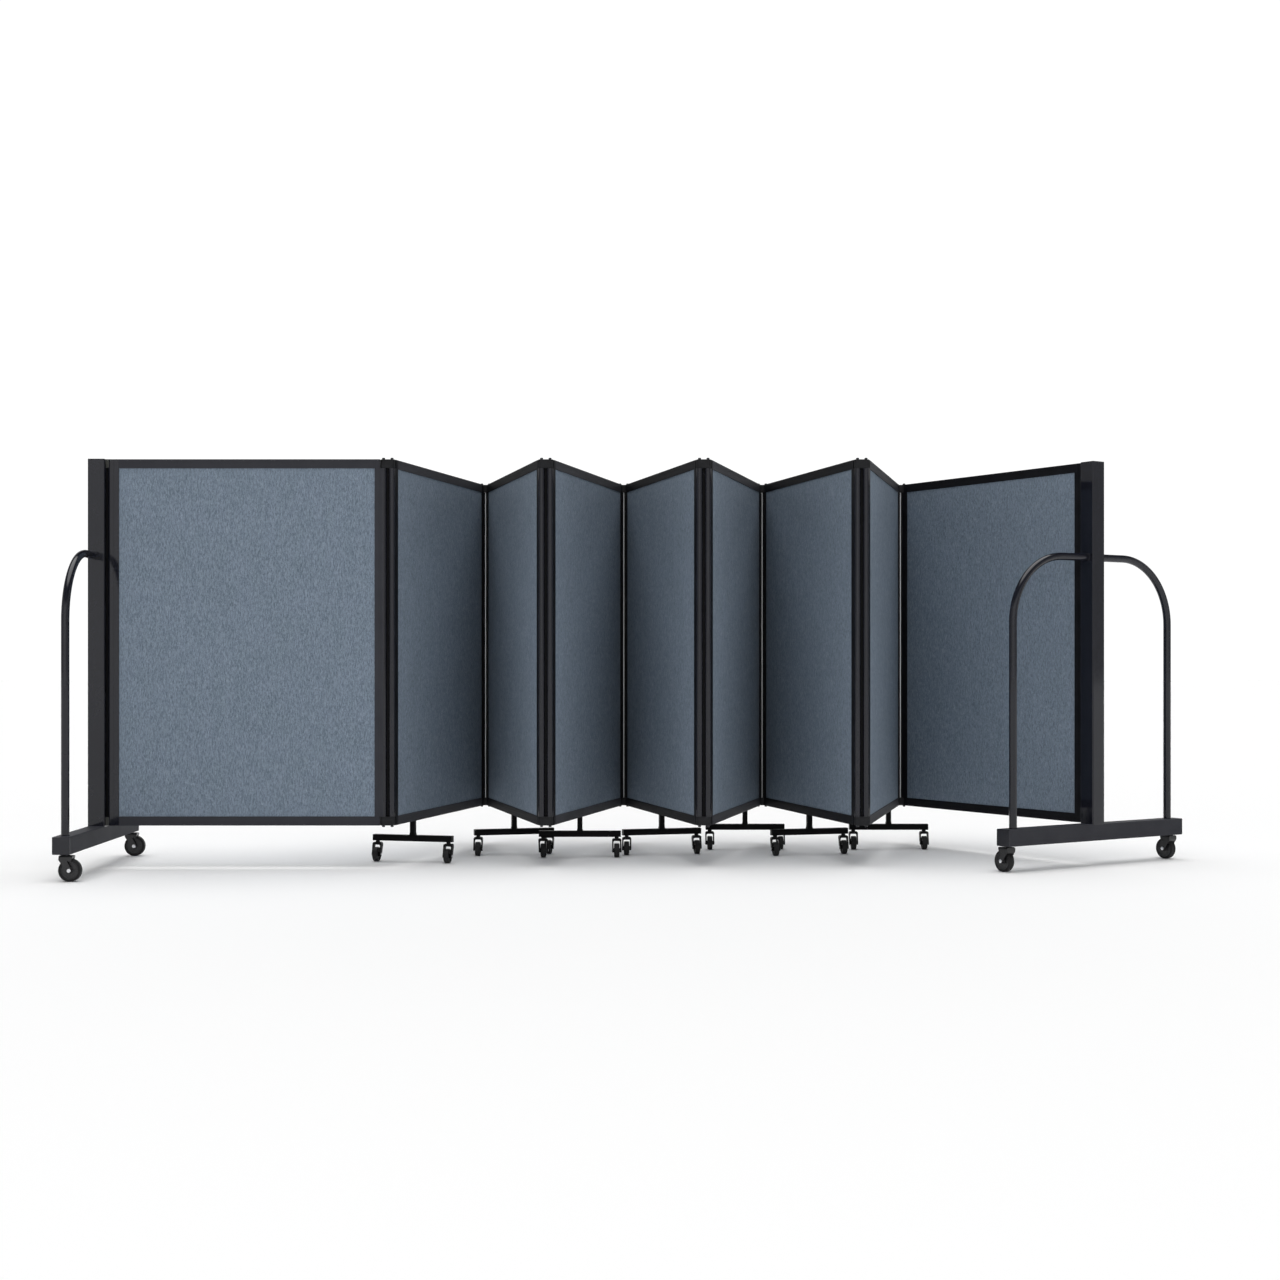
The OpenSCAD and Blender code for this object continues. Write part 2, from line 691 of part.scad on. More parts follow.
// Half of the hoop, on the +Y side, as a solid rod of the given radius.
module half_hoop(r) {
    up = hoop_top - hoop_bend;
    side = hoop_w / 2 - hoop_bend;
    translate([0, hoop_w / 2, leaf_bottom]) cylinder(h = up - leaf_bottom, r = r);
    translate([0, side, up]) rotate([90, 0, 90]) rotate_extrude(angle = 90)
        translate([hoop_bend, 0]) circle(r = r);
    translate([0, side, hoop_top]) rotate([90, 0, 0]) cylinder(h = side, r = r);
}

module hoop(e) {
    color(frame_col) at_end(e) difference() {
        for (s = [0, 1]) mirror([0, s, 0]) half_hoop(hoop_d / 2);
        for (s = [0, 1]) mirror([0, s, 0]) half_hoop(hoop_d / 2 - hoop_wall);
    }
}

// ---- What is drawn ----

for (i = [1:leaves]) {
    leaf_frame(i);
    leaf_fabric(i);
}
for (i = [1:leaves - 1])
    hinge(i);
for (i = [2:leaves - 1])
    leg(i);
for (i = [2:leaves - 1], s = ["left", "right"])
    leg_caster(i, s);
for (e = ["left", "right"]) {
    end_frame(e);
    hoop(e);
}
for (e = ["left", "right"], s = ["front", "rear"]) {
    end_fork(e, s);
    end_wheel(e, s);
}
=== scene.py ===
"""Looks of an accordion folding partition: nine fabric leaves, hinges, T-legs and end frames.

All lengths are in metres. Each piece is drawn in a frame of its own, such as a leaf's, where X runs
along the leaf and Z is up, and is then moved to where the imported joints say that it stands.
"""
import json
import math

import bmesh
import bpy
from mathutils import Matrix, Vector, noise


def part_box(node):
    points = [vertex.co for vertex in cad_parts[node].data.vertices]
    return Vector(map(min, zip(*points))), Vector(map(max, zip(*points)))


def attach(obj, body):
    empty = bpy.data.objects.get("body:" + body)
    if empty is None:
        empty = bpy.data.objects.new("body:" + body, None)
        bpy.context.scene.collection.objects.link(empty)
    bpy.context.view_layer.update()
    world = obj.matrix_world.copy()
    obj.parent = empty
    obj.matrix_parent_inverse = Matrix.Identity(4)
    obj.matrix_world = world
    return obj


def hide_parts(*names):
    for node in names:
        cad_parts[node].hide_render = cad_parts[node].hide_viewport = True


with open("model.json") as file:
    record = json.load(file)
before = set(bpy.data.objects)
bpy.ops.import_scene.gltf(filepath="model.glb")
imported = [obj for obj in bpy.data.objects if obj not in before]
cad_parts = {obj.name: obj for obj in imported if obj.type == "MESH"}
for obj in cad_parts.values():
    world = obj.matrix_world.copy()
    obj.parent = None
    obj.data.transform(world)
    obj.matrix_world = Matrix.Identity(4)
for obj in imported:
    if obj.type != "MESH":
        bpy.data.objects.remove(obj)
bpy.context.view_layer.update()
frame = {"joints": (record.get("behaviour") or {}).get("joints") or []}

LEAVES = 9
SIDES = ("left", "right")
DEPTHS = ("front", "rear")
JOINTS = {joint["name"]: Vector(joint["pos_m"]) for joint in frame["joints"]}

# How far a cutter or a joined solid reaches past what it meets
PAST = 0.01
FAR = 0.1
SUNK = 0.001

# Leaf frames. A leaf's X axis starts at its first pin, and its matt faces start just inside
# of the pins.
STILE_W = 0.0254
RAIL_H = 0.027
LIP_T = 0.0019
GROOVE_DEPTH = 0.006
CORNER_R = 0.0004
STILE_EDGE = 0.0003
RAIL_EDGE = 0.00025
LINE_W = 0.001
LINE_DEPTH = 0.0006
RAIL_LINE_AT = 0.009
STILE_LINE_AT = 0.0098
NOSE_END = 0.001
JOINT_GAP = 0.0001
NOTCH_H = 0.0264
NOTCH_PAST_NOSE = 0.0008

# Fabric skins
SKIN_T = 0.0008
SKIN_UNDER_LIP = 0.0002
SKIN_STEP = 0.03
SKIN_STEPS_AT_LIP = (0.0, 0.002, 0.005, 0.009, 0.014, 0.021, 0.031)
SKIN_BEFORE_LIP = 0.0008
SKIN_SWELL = 0.0007
SKIN_SWELL_WITHIN = 0.016
SKIN_WAVE = 0.00012
SKIN_WAVE_LENGTH = 0.13
SKIN_SEED_STEP = 7.3

# Hinges
BLOCK_H = 0.026
BLOCK_EDGE = 0.0011
PIN_HEAD_R = 0.0045
PIN_HEAD_H = 0.005
PIN_HEAD_EDGE = 0.0011
# Dimple in a pin's head, as (radius, depth)
PIN_DIMPLE = ((0.0, 0.0009), (0.0012, 0.0009), (0.0017, 0.0))
PIN_R = 0.004
PIN_CLEAR = 0.00006
PIN_REACH = 0.04
SEAL_T = 0.003
SEAL_FACE_T = 0.001
SEAL_FACE_W = 0.003
SEAL_FACE_R = 0.0004
SEAL_CLEAR = 0.00003
SEAL_TUCK = 0.004

# T-legs
LEG_T = 0.019
LEG_CORNER_R = 0.0016
LEG_STEM_T = 0.016
LEG_STEM_SUNK = 0.002
LEG_FOOT_H = 0.008
# The foot is a touch narrower than the bar, so that no two faces lie in one plane.
LEG_FOOT_SHARE = 1 - 1e-4
LEG_BAR_L = 0.259
PLUG_T = 0.0015
PLUG_EDGE = 0.0007

# End frames and hoops
TUBE = 0.050
TUBE_CORNER_R = 0.003
TUBE_WALL = 0.002
MATT_ABOVE_BAR = 0.001
CAP_T = 0.003
POST_SUNK = 0.003
SPACER_H = 0.025
POST_SEAL_W = 0.012
BOLT_HEAD_R = 0.006
BOLT_HEAD_H = 0.0025
BOLT_RIM_H = 0.0006
BOLT_SOCKET_R = 0.0022
BOLT_SOCKET_FLOOR = 0.0008
BOLT_ROOM = 0.03
ACCESS_R = 0.007
ACCESS_PLUG_EDGE = 0.0003
HOOP_R = 0.0115
HOOP_W = 0.660
HOOP_TOP = 0.930
HOOP_BEND = 0.200
HOOP_FOOT_H = 0.004
BEAD_R = 0.0013
# Ripples of a bead, as (share of its radius, turn from point to point)
RIPPLES = ((0.14, 2.1), (0.05, 0.7))

# Casters, one set of sizes for each kind. A hood's angles around the wheel are from +X.
LEG_CASTER = {
    "height": 0.064, "wheel_r": 0.022, "wheel_w": 0.016, "trail": 0.009, "arm_t": 0.004,
    "roof_t": 0.008, "neck_h": 0.005, "neck_r": 0.007, "crown_r": 0.0085, "boss_r": 0.0065,
    "shoulder": 0.006, "axle_r": 0.003, "hood": False}
END_CASTER = {
    "height": 0.077, "wheel_r": 0.032, "wheel_w": 0.020, "trail": 0.019, "arm_t": 0.0035,
    "roof_t": 0.0045, "neck_h": 0.003, "neck_r": 0.008, "crown_r": 0.0095, "boss_r": 0.0075,
    "shoulder": 0.006, "axle_r": 0.004, "hood": True}
WHEEL_GAP = 0.0025
SEAT_GAP = 0.0003
RIM_H = 0.006
RIM_SUNK = 0.0012
TREAD_ROUND = 0.003
# Side of a tyre, as (out from its rim, in from its side face)
TYRE_GROOVE = ((0.0, 0.0004), (0.0004, 0.0), (0.0019, 0.0), (0.0022, 0.0004), (0.0025, 0.0))
CORE_EDGE = 0.0008
CORE_STEP = 0.0006
WEB_DEPTH = 0.0025
HUB_WALL = 0.004
RECESSES = 3
RECESS_SWEEP = 86
RECESS_DEPTH = 0.0015
RECESS_MARGIN = 0.004
AXLE_HEAD_H = 0.0015
AXLE_HEAD_OVER = 0.0015
AXLE_RIM_SHARE = 0.3
HOOD_STARTS = (92, 88)
HOOD_END = 76
HOOD_DROP = 0.0005
HOOD_OVER_RIM = 0.006
# A notch where the hood leaves the fork's back edge, as a share of that edge and (back, up)
HOOD_NOTCH_AT = 0.66
HOOD_NOTCH = ((0.0, 0.0), (0.0006, 0.0011), (0.0018, 0.0016))
WHEEL_ROOM = 0.0018
ARMS_SPLIT_H = 0.012
FORK_CORNER_R = 0.002
FORK_EDGE = 0.0006
WINDOW_R = 0.004
# Edges of a neck, as (in from its radius, up from the roof) and (in, down from its top)
NECK_COLLAR = ((0.0, 0.0008), (0.0006, 0.001))
NECK_TOP = ((0.0006, 0.0006), (0.001, 0.0))

# The photograph's view and the floor
CAMERA_AT = (-0.095, -5.705, 0.610)
LENS = 51.75
SENSOR = 36.0
SHIFT = (0.018, 0.0184)
VIEW_END = 200
FLOOR_HALF = 60
FLOOR_TONE = 0.965

# The light's levels, as (place, level). Those of the ring and of the softbox go from the horizon
# at 0 to straight up at 1. The ring's share goes from front and back at 0 to the sides at 1.
RING = ((0.0, 1.05), (0.37, 1.05), (0.56, 0.12), (1.0, 0.12))
RING_SHARE = ((0.0, 1.0), (0.40, 1.0), (0.72, 0.45), (1.0, 0.45))
SOFTBOX = ((0.0, 0.0), (0.80, 0.0), (0.90, 2.95), (1.0, 2.95))


# ---- Meshes from code ----

MIRROR_X = Matrix.Diagonal((-1, 1, 1, 1))
MIRROR_Y = Matrix.Diagonal((1, -1, 1, 1))
MIRROR_Z = Matrix.Diagonal((1, 1, -1, 1))
# Turns a drawing in X and Y upright: drawn as (across, up), it then runs along X.
ALONG_X = Matrix(((0, 0, 1, 0), (1, 0, 0, 0), (0, 1, 0, 0), (0, 0, 0, 1)))
BEVEL_ANGLE = math.radians(32)
SHARP_ANGLE = math.radians(33)
# The least slope of a corner against its sides when an outline is drawn in
LEAST_SLOPE = 0.3


def made_mesh(points, faces):
    """A closed mesh with its faces turned outwards."""
    mesh = bpy.data.meshes.new("part")
    mesh.from_pydata([tuple(p) for p in points], [], faces)
    bm = bmesh.new()
    bm.from_mesh(mesh)
    bmesh.ops.recalc_face_normals(bm, faces=bm.faces)
    bm.to_mesh(mesh)
    bm.free()
    return mesh


def moved(mesh, matrix):
    """A copy of a mesh, moved."""
    copy = mesh.copy()
    copy.transform(matrix)
    if matrix.determinant() < 0:
        copy.flip_normals()
    return copy


def shift(x=0.0, y=0.0, z=0.0):
    return Matrix.Translation((x, y, z))


def turn(degrees, axis="Z"):
    return Matrix.Rotation(math.radians(degrees), 4, axis)


def joined(*meshes):
    """Meshes side by side in one mesh, each still its own solid."""
    bm = bmesh.new()
    for mesh in meshes:
        bm.from_mesh(mesh)
    out = bpy.data.meshes.new("part")
    bm.to_mesh(out)
    bm.free()
    return out


def with_modifier(mesh, kind, **settings):
    """The mesh that a modifier makes of this one."""
    ob = bpy.data.objects.new("tool", mesh)
    bpy.context.scene.collection.objects.link(ob)
    modifier = ob.modifiers.new("m", kind)
    for name, value in settings.items():
        setattr(modifier, name, value)
    graph = bpy.context.evaluated_depsgraph_get()
    out = bpy.data.meshes.new_from_object(ob.evaluated_get(graph))
    bpy.data.objects.remove(ob)
    return out


def boolean(a, b, operation):
    tool = bpy.data.objects.new("cutter", b)
    bpy.context.scene.collection.objects.link(tool)
    out = with_modifier(a, "BOOLEAN", operation=operation, solver="EXACT", object=tool)
    bpy.data.objects.remove(tool)
    return out


def fused(*meshes):
    out = meshes[0]
    for mesh in meshes[1:]:
        out = boolean(out, mesh, "UNION")
    return out


def cut(mesh, *cutters):
    for cutter in cutters:
        mesh = boolean(mesh, cutter, "DIFFERENCE")
    return mesh


def softened(mesh, width):
    """The mesh with its sharp edges rounded."""
    return with_modifier(
        mesh, "BEVEL", width=width, segments=2, limit_method="ANGLE", angle_limit=BEVEL_ANGLE,
        use_clamp_overlap=True, miter_outer="MITER_ARC")


def arc(centre, radius, start, end, steps):
    """Points of an arc in a plane, both ends included. The angles are in degrees."""
    points = []
    for k in range(steps + 1):
        a = math.radians(start + (end - start) * k / steps)
        points.append((centre[0] + radius * math.cos(a), centre[1] + radius * math.sin(a)))
    return points


def rounded_rectangle(width, depth, radius, steps=4):
    x, y = width / 2 - radius, depth / 2 - radius
    corners = ((x, y, 0), (-x, y, 90), (-x, -y, 180), (x, -y, 270))
    return [point for cx, cy, start in corners
            for point in arc((cx, cy), radius, start, start + 90, steps)]


def inset(outline, distance):
    """The outline drawn in by a small distance. It runs counter-clockwise."""
    out = []
    count = len(outline)
    for k in range(count):
        before, here, after = (Vector(outline[(k + d) % count]) for d in (-1, 0, 1))
        u, v = (here - before).normalized(), (after - here).normalized()
        off_u, off_v = Vector((-u.y, u.x)), Vector((-v.y, v.x))
        normal = (off_u + off_v).normalized()
        out.append(here + normal * distance / max(LEAST_SLOPE, normal.dot(off_u)))
    return [(p.x, p.y) for p in out]


def loft(rings, closed=False):
    """Closed mesh through rings of as many points each. It has flat ends, or its last ring
    meets the first."""
    count = len(rings[0])
    total = len(rings) * count
    points = [p for ring in rings for p in ring]
    faces = [] if closed else [list(range(count))[::-1], list(range(total - count, total))]
    for r in range(len(rings) if closed else len(rings) - 1):
        for k in range(count):
            a, b = r * count + k, r * count + (k + 1) % count
            faces.append((a, b, (b + count) % total, (a + count) % total))
    return made_mesh(points, faces)


def prism(outline, low, high, edge=0.0, steps=2):
    """Upright extrusion of an outline. Its two rims are rounded over the edge's distance."""
    rings = []
    if edge > 0:
        for k in range(steps + 1):
            a = math.pi / 2 * k / steps
            flat = inset(outline, edge * (1 - math.sin(a)))
            rings.append([(x, y, low + edge * (1 - math.cos(a))) for x, y in flat])
        rings += [[(x, y, high + low - z) for x, y, z in ring] for ring in reversed(rings)]
    else:
        rings = [[(x, y, z) for x, y in outline] for z in (low, high)]
    return loft(rings)


def circle(radius, steps, centre=(0, 0)):
    """Points of a full circle, as many as the steps."""
    return arc(centre, radius, 0, 360 * (steps - 1) / steps, steps - 1)


def disc(radius, low, high, steps, centre=(0, 0), edge=0.0):
    return prism(circle(radius, steps, centre), low, high, edge)


def box(low, high):
    x0, y0, z0 = low
    x1, y1, z1 = high
    return prism([(x0, y0), (x1, y0), (x1, y1), (x0, y1)], z0, z1)


def lathe(profile, steps=32):
    """Solid of revolution about Z. The profile's (radius, height) points end on the axis or
    close on themselves."""
    points, rings, faces = [], [], []
    for radius, height in profile:
        if radius == 0:
            rings.append([len(points)] * steps)
            points.append((0, 0, height))
            continue
        rings.append([len(points) + k for k in range(steps)])
        for k in range(steps):
            a = math.tau * k / steps
            points.append((radius * math.cos(a), radius * math.sin(a), height))
    closed = profile[0][0] > 0
    for r in range(len(rings) if closed else len(rings) - 1):
        low, high = rings[r], rings[(r + 1) % len(rings)]
        for k in range(steps):
            n = (k + 1) % steps
            corners = [low[k], low[n], high[n], high[k]]
            unique = list(dict.fromkeys(corners))
            if len(unique) > 2:
                faces.append(unique)
    return made_mesh(points, faces)


def sweep(path, radius, steps=12, closed=False):
    """Round rod along a path of points. The radius is one number or a list, one for each."""
    count = len(path)
    radii = radius if isinstance(radius, list) else [radius] * count
    path = [Vector(p) for p in path]
    rings, side = [], None
    for k, p in enumerate(path):
        before = path[k - 1] if closed or k > 0 else p
        after = path[(k + 1) % count] if closed or k < count - 1 else p
        way = (after - before).normalized()
        if side is None:
            side = way.orthogonal().normalized()
        side = (side - way * side.dot(way)).normalized()
        other = way.cross(side)
        rings.append([p + radii[k] * (math.cos(math.tau * j / steps) * side
                                      + math.sin(math.tau * j / steps) * other)
                      for j in range(steps)])
    return loft(rings, closed)


finished_meshes = {}


def finished(mesh):
    """The mesh shaded smooth, with its corners sharp and its flat faces flat up to their edges."""
    if mesh.name not in finished_meshes:
        bm = bmesh.new()
        bm.from_mesh(mesh)
        for face in bm.faces:
            face.smooth = True
        for edge in bm.edges:
            edge.smooth = len(edge.link_faces) == 2 and edge.calc_face_angle(0) < SHARP_ANGLE
        bm.to_mesh(mesh)
        bm.free()
        finished_meshes[mesh.name] = with_modifier(mesh, "WEIGHTED_NORMAL", keep_sharp=True)
    return finished_meshes[mesh.name]


# How far a piece's pattern lies from that of the piece before it
PATTERN_STEP = Vector((1.7, 0.9, 2.3))
placed = {"count": 0}


def place(name, mesh, matrix, body, material, replaces=(), matt=None):
    """Puts a piece where it stands. The mesh remembers its own coordinates for the material,
    moved apart so that no two pieces show the same pattern. The faces whose centre fits the
    matt rule get the coat's matt finish."""
    mesh = finished(mesh).copy()
    mesh.name = name
    placed["count"] += 1
    offset = PATTERN_STEP * placed["count"]
    at = mesh.attributes.new("at", "FLOAT_VECTOR", "POINT")
    at.data.foreach_set("vector", [c for v in mesh.vertices for c in v.co + offset])
    if matt:
        share = mesh.attributes.new("matt", "FLOAT", "FACE")
        share.data.foreach_set("value", [float(matt(face.center)) for face in mesh.polygons])
    mesh.transform(matrix)
    mesh.materials.clear()
    mesh.materials.append(material)
    piece = bpy.data.objects.new(name, mesh)
    bpy.context.scene.collection.objects.link(piece)
    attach(piece, body)
    if replaces:
        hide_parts(*replaces)
    return piece


# ---- Materials ----

# Most values of a noise pattern lie in the first range. The second one is where tones blend.
NOISE_RANGE = (0.3, 0.7)
TONE_RANGE = (0.35, 0.65)


def set_stops(ramp, stops):
    """Gives a colour ramp its stops, as (place, colour)."""
    elements = ramp.color_ramp.elements
    while len(elements) < len(stops):
        elements.new(0.5)
    for element, (position, colour) in zip(elements, stops):
        element.position = position
        element.color = (*colour, 1)


class Nodes:
    """Short ways to add nodes to a material."""

    def __init__(self, name):
        self.material = bpy.data.materials.new(name)
        self.material.use_nodes = True
        self.tree = self.material.node_tree
        self.shader = self.tree.nodes["Principled BSDF"]

    def add(self, kind, inputs=(), **settings):
        node = self.tree.nodes.new(kind)
        for name, value in settings.items():
            setattr(node, name, value)
        for name, value in dict(inputs).items():
            self.put(node.inputs[name], value)
        return node

    def put(self, socket, value):
        if isinstance(value, bpy.types.NodeSocket):
            self.tree.links.new(value, socket)
        else:
            socket.default_value = value

    def at(self, scale):
        """The piece's own coordinates, times a scale for each axis."""
        own = self.add("ShaderNodeAttribute", attribute_name="at")
        grown = self.add("ShaderNodeVectorMath", {0: own.outputs["Vector"], 1: scale},
                         operation="MULTIPLY")
        return grown.outputs["Vector"]

    def noise(self, scale, detail, roughness=0.5, distortion=0.0):
        node = self.add("ShaderNodeTexNoise", {
            "Vector": self.at(scale), "Scale": 1.0, "Detail": detail,
            "Roughness": roughness, "Distortion": distortion})
        return node.outputs["Fac"]

    def ramp(self, value, stops):
        node = self.add("ShaderNodeValToRGB", {"Fac": value})
        set_stops(node, stops)
        return node.outputs["Color"]

    def tones(self, value, colours, places=TONE_RANGE):
        """The first colour up to the first place, the second one from the second place."""
        return self.ramp(value, list(zip(places, colours)))

    def waves(self, across, direction, scale):
        node = self.add("ShaderNodeTexWave", {
            "Vector": self.at(across), "Scale": scale, "Distortion": 1.2, "Detail": 2.0,
            "Detail Scale": 40.0}, bands_direction=direction)
        return node.outputs["Fac"]

    def span(self, value, low, high, to_low, to_high):
        node = self.add("ShaderNodeMapRange", {
            "Value": value, "From Min": low, "From Max": high,
            "To Min": to_low, "To Max": to_high})
        return node.outputs["Result"]

    def mix(self, share, a, b, blend="MIX"):
        node = self.add("ShaderNodeMix", data_type="RGBA", blend_type=blend)
        for name, value in (("Factor_Float", share), ("A_Color", a), ("B_Color", b)):
            socket = next(s for s in node.inputs if s.identifier == name)
            self.put(socket, value)
        return next(s for s in node.outputs if s.identifier == "Result_Color")

    def math(self, operation, a, b):
        return self.add("ShaderNodeMath", {0: a, 1: b}, operation=operation).outputs["Value"]

    def sum(self, a, a_share, b, b_share):
        """Two patterns added, each times its share."""
        return self.math("ADD", self.math("MULTIPLY", a, a_share), self.math("MULTIPLY", b, b_share))

    def bump(self, height, distance, strength):
        inputs = {"Height": height, "Distance": distance, "Strength": strength}
        return self.add("ShaderNodeBump", inputs).outputs["Normal"]

    def finish(self, **sockets):
        for name, value in sockets.items():
            self.put(self.shader.inputs[name.replace("_", " ")], value)
        return self.material


# The black coats. The darker tones of the leaves that stand in the folds are painted shade: they go on
# the flats of their stiles and on the rails of the odd leaves, which are turned away from the light.
COAT_TONES = ((0.0070, 0.0078, 0.0130), (0.0100, 0.0108, 0.0165))
MATT_TONES = ((0.0400, 0.0410, 0.0480), (0.0460, 0.0470, 0.0540))
SHADED_TONES = ((0.0085, 0.0090, 0.0110), (0.0125, 0.0130, 0.0155))
# The legs' tones are a matt black with painted shade: far darker than the end frames' matt coat, for
# the legs that stand under the folds.
LEG_TONES = ((0.0022, 0.0022, 0.0024), (0.0038, 0.0038, 0.0041))
COAT_GLOSS = 0.42
LEG_GLOSS = 0.06
MATT_GLOSS = 0.05
MATT_ROUGH = 0.55
UPRIGHT_GRAIN = (900, 900, 6)
LEVEL_GRAIN = (6, 900, 900)
EVEN_GRAIN = (40, 40, 40)

# The cloth: dark gaps, threads and light slubs, then what flecks and clouds do to them
SLUB_TONES = ((0.30, (0.124, 0.157, 0.198)), (0.50, (0.190, 0.238, 0.299)),
              (0.72, (0.270, 0.329, 0.395)))
FLECK_TONES = ((0.68, 0.70, 0.72), (1.26, 1.25, 1.24))
CLOUD_TONES = ((0.96, 0.97, 0.96), (1.04, 1.03, 1.04))

ZINC_TONES = ((0.66, 0.67, 0.69), (0.82, 0.83, 0.85))


def powder_coat(name, grain, tones, rough, gloss=COAT_GLOSS, matt_tones=None):
    """Black coat with a faint orange peel. The grain gives the direction of its streaks. Where
    there are matt tones, faces marked as matt scatter the light instead of mirroring it."""
    n = Nodes(name)
    patches = n.noise((14, 14, 14), detail=4)
    streaks = n.noise(grain, detail=4)
    peel = n.noise((700, 700, 700), detail=2)
    colour = n.tones(n.sum(patches, 0.6, streaks, 0.4), tones)
    roughness = n.span(streaks, *NOISE_RANGE, *rough)
    n.shader.inputs["Specular IOR Level"].default_value = gloss
    if matt_tones:
        matt = n.add("ShaderNodeAttribute", attribute_name="matt").outputs["Fac"]
        colour = n.mix(matt, colour, n.tones(patches, matt_tones))
        roughness = n.span(matt, 0.0, 1.0, roughness, MATT_ROUGH)
        n.finish(Specular_IOR_Level=n.span(matt, 0.0, 1.0, gloss, MATT_GLOSS))
    return n.finish(Base_Color=colour, Roughness=roughness,
                    Normal=n.bump(peel, distance=0.00002, strength=0.4))


def panel_fabric():
    """Blue-grey woven cloth whose warp shows as short upright slubs."""
    n = Nodes("panel_fabric")
    slubs = n.noise((420, 420, 95), detail=3, roughness=0.6, distortion=0.15)
    flecks = n.noise((900, 900, 260), detail=2, roughness=0.6)
    clouds = n.noise((26, 26, 12), detail=3)
    flecked = n.mix(1.0, n.ramp(slubs, SLUB_TONES), n.tones(flecks, FLECK_TONES, NOISE_RANGE),
                    "MULTIPLY")
    colour = n.mix(1.0, flecked, n.tones(clouds, CLOUD_TONES, NOISE_RANGE), "MULTIPLY")
    warp = n.waves((1, 0, 0.02), "X", scale=420.0)
    weft = n.waves((0.02, 0, 1), "Z", scale=360.0)
    threads = n.math("MAXIMUM", warp, n.math("MULTIPLY", weft, 0.7))
    height = n.math("ADD", n.math("MULTIPLY", threads, 0.5), slubs)
    n.shader.inputs["Specular IOR Level"].default_value = 0.2
    n.shader.inputs["Sheen Weight"].default_value = 0.03
    n.shader.inputs["Sheen Roughness"].default_value = 0.45
    return n.finish(Base_Color=colour, Roughness=n.span(flecks, *NOISE_RANGE, 0.82, 0.96),
                    Normal=n.bump(height, distance=0.0004, strength=0.55))


def moulded_plastic(name, tones, rough, grain_size, grain_depth, gloss=0.45):
    """Injection-moulded plastic with a fine spark grain."""
    n = Nodes(name)
    grain = n.noise((1 / grain_size,) * 3, detail=3, roughness=0.6)
    patches = n.noise((30, 30, 30), detail=4)
    n.shader.inputs["Specular IOR Level"].default_value = gloss
    return n.finish(Base_Color=n.tones(n.sum(grain, 0.5, patches, 0.5), tones),
                    Roughness=n.span(patches, *NOISE_RANGE, *rough),
                    Normal=n.bump(grain, grain_depth, strength=0.7))


def zinc_steel():
    """Bright zinc-plated steel with a slightly uneven sheen."""
    n = Nodes("zinc_steel")
    mottle = n.noise((500, 500, 500), detail=3)
    n.shader.inputs["Metallic"].default_value = 1.0
    return n.finish(Base_Color=n.tones(mottle, ZINC_TONES, NOISE_RANGE),
                    Roughness=n.span(mottle, *NOISE_RANGE, 0.32, 0.48),
                    Normal=n.bump(mottle, distance=0.00003, strength=0.5))


leaf_coat = {
    "stile": powder_coat("leaf_coat_upright", UPRIGHT_GRAIN, COAT_TONES, rough=(0.05, 0.10),
                         matt_tones=MATT_TONES),
    "rail": powder_coat("leaf_coat_level", LEVEL_GRAIN, MATT_TONES, rough=(0.50, 0.62),
                        gloss=MATT_GLOSS),
    # Painted shade: darker copies of the two coats above, for the leaves in the folds.
    "shaded stile": powder_coat("leaf_coat_upright_shaded", UPRIGHT_GRAIN, COAT_TONES,
                              rough=(0.13, 0.19), matt_tones=SHADED_TONES),
    "shaded rail": powder_coat("leaf_coat_level_shaded", LEVEL_GRAIN, SHADED_TONES, rough=(0.50, 0.62),
                             gloss=MATT_GLOSS),
}
steel_coat = powder_coat("steel_coat", EVEN_GRAIN, COAT_TONES, rough=(0.04, 0.08),
                         matt_tones=MATT_TONES)
# Matt black coat of the legs, painted darker as shade for where they stand under the folds.
leg_coat = powder_coat("leg_coat", EVEN_GRAIN, LEG_TONES, rough=(0.40, 0.50), gloss=LEG_GLOSS)
fabric = panel_fabric()
zinc = zinc_steel()
hinge_plastic = moulded_plastic(
    "hinge_plastic", tones=((0.006, 0.0062, 0.0070), (0.022, 0.0225, 0.0250)),
    rough=(0.50, 0.66), grain_size=0.0007, grain_depth=0.00012, gloss=0.16)
seal_rubber = moulded_plastic(
    "seal_rubber", tones=((0.0025, 0.0025, 0.0027), (0.0045, 0.0045, 0.0048)),
    rough=(0.60, 0.75), grain_size=0.0006, grain_depth=0.00005, gloss=0.1)
seal_vinyl = moulded_plastic(
    "seal_vinyl", tones=((0.82, 0.83, 0.84), (0.90, 0.91, 0.92)),
    rough=(0.50, 0.60), grain_size=0.0006, grain_depth=0.00003)
caster_plastic = moulded_plastic(
    "caster_plastic", tones=((0.012, 0.0122, 0.0135), (0.018, 0.0182, 0.0200)),
    rough=(0.26, 0.38), grain_size=0.0004, grain_depth=0.00003)
leg_caster_plastic = moulded_plastic(
    "leg_caster_plastic", tones=((0.0025, 0.0025, 0.0028), (0.0050, 0.0050, 0.0055)),
    rough=(0.34, 0.46), grain_size=0.0004, grain_depth=0.00003, gloss=0.12)
tread_rubber = moulded_plastic(
    "tread_rubber", tones=((0.009, 0.009, 0.0095), (0.016, 0.016, 0.017)),
    rough=(0.50, 0.66), grain_size=0.0006, grain_depth=0.00006, gloss=0.25)
spacer_plastic = moulded_plastic(
    "spacer_plastic", tones=((0.035, 0.036, 0.032), (0.060, 0.061, 0.056)),
    rough=(0.50, 0.62), grain_size=0.0007, grain_depth=0.00006)


# ---- Where things stand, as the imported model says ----

first_low, first_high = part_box("leaf_frame_1")
LEAF_T = first_high.y - first_low.y
NOSE_R = LEAF_T / 2
LEAF_L = first_high.x - first_low.x - LEAF_T
LEAF_LOW, LEAF_TOP = first_low.z, first_high.z
PIN_PITCH = (JOINTS["hinge_1_pin_b"] - JOINTS["hinge_1_pin_a"]).length


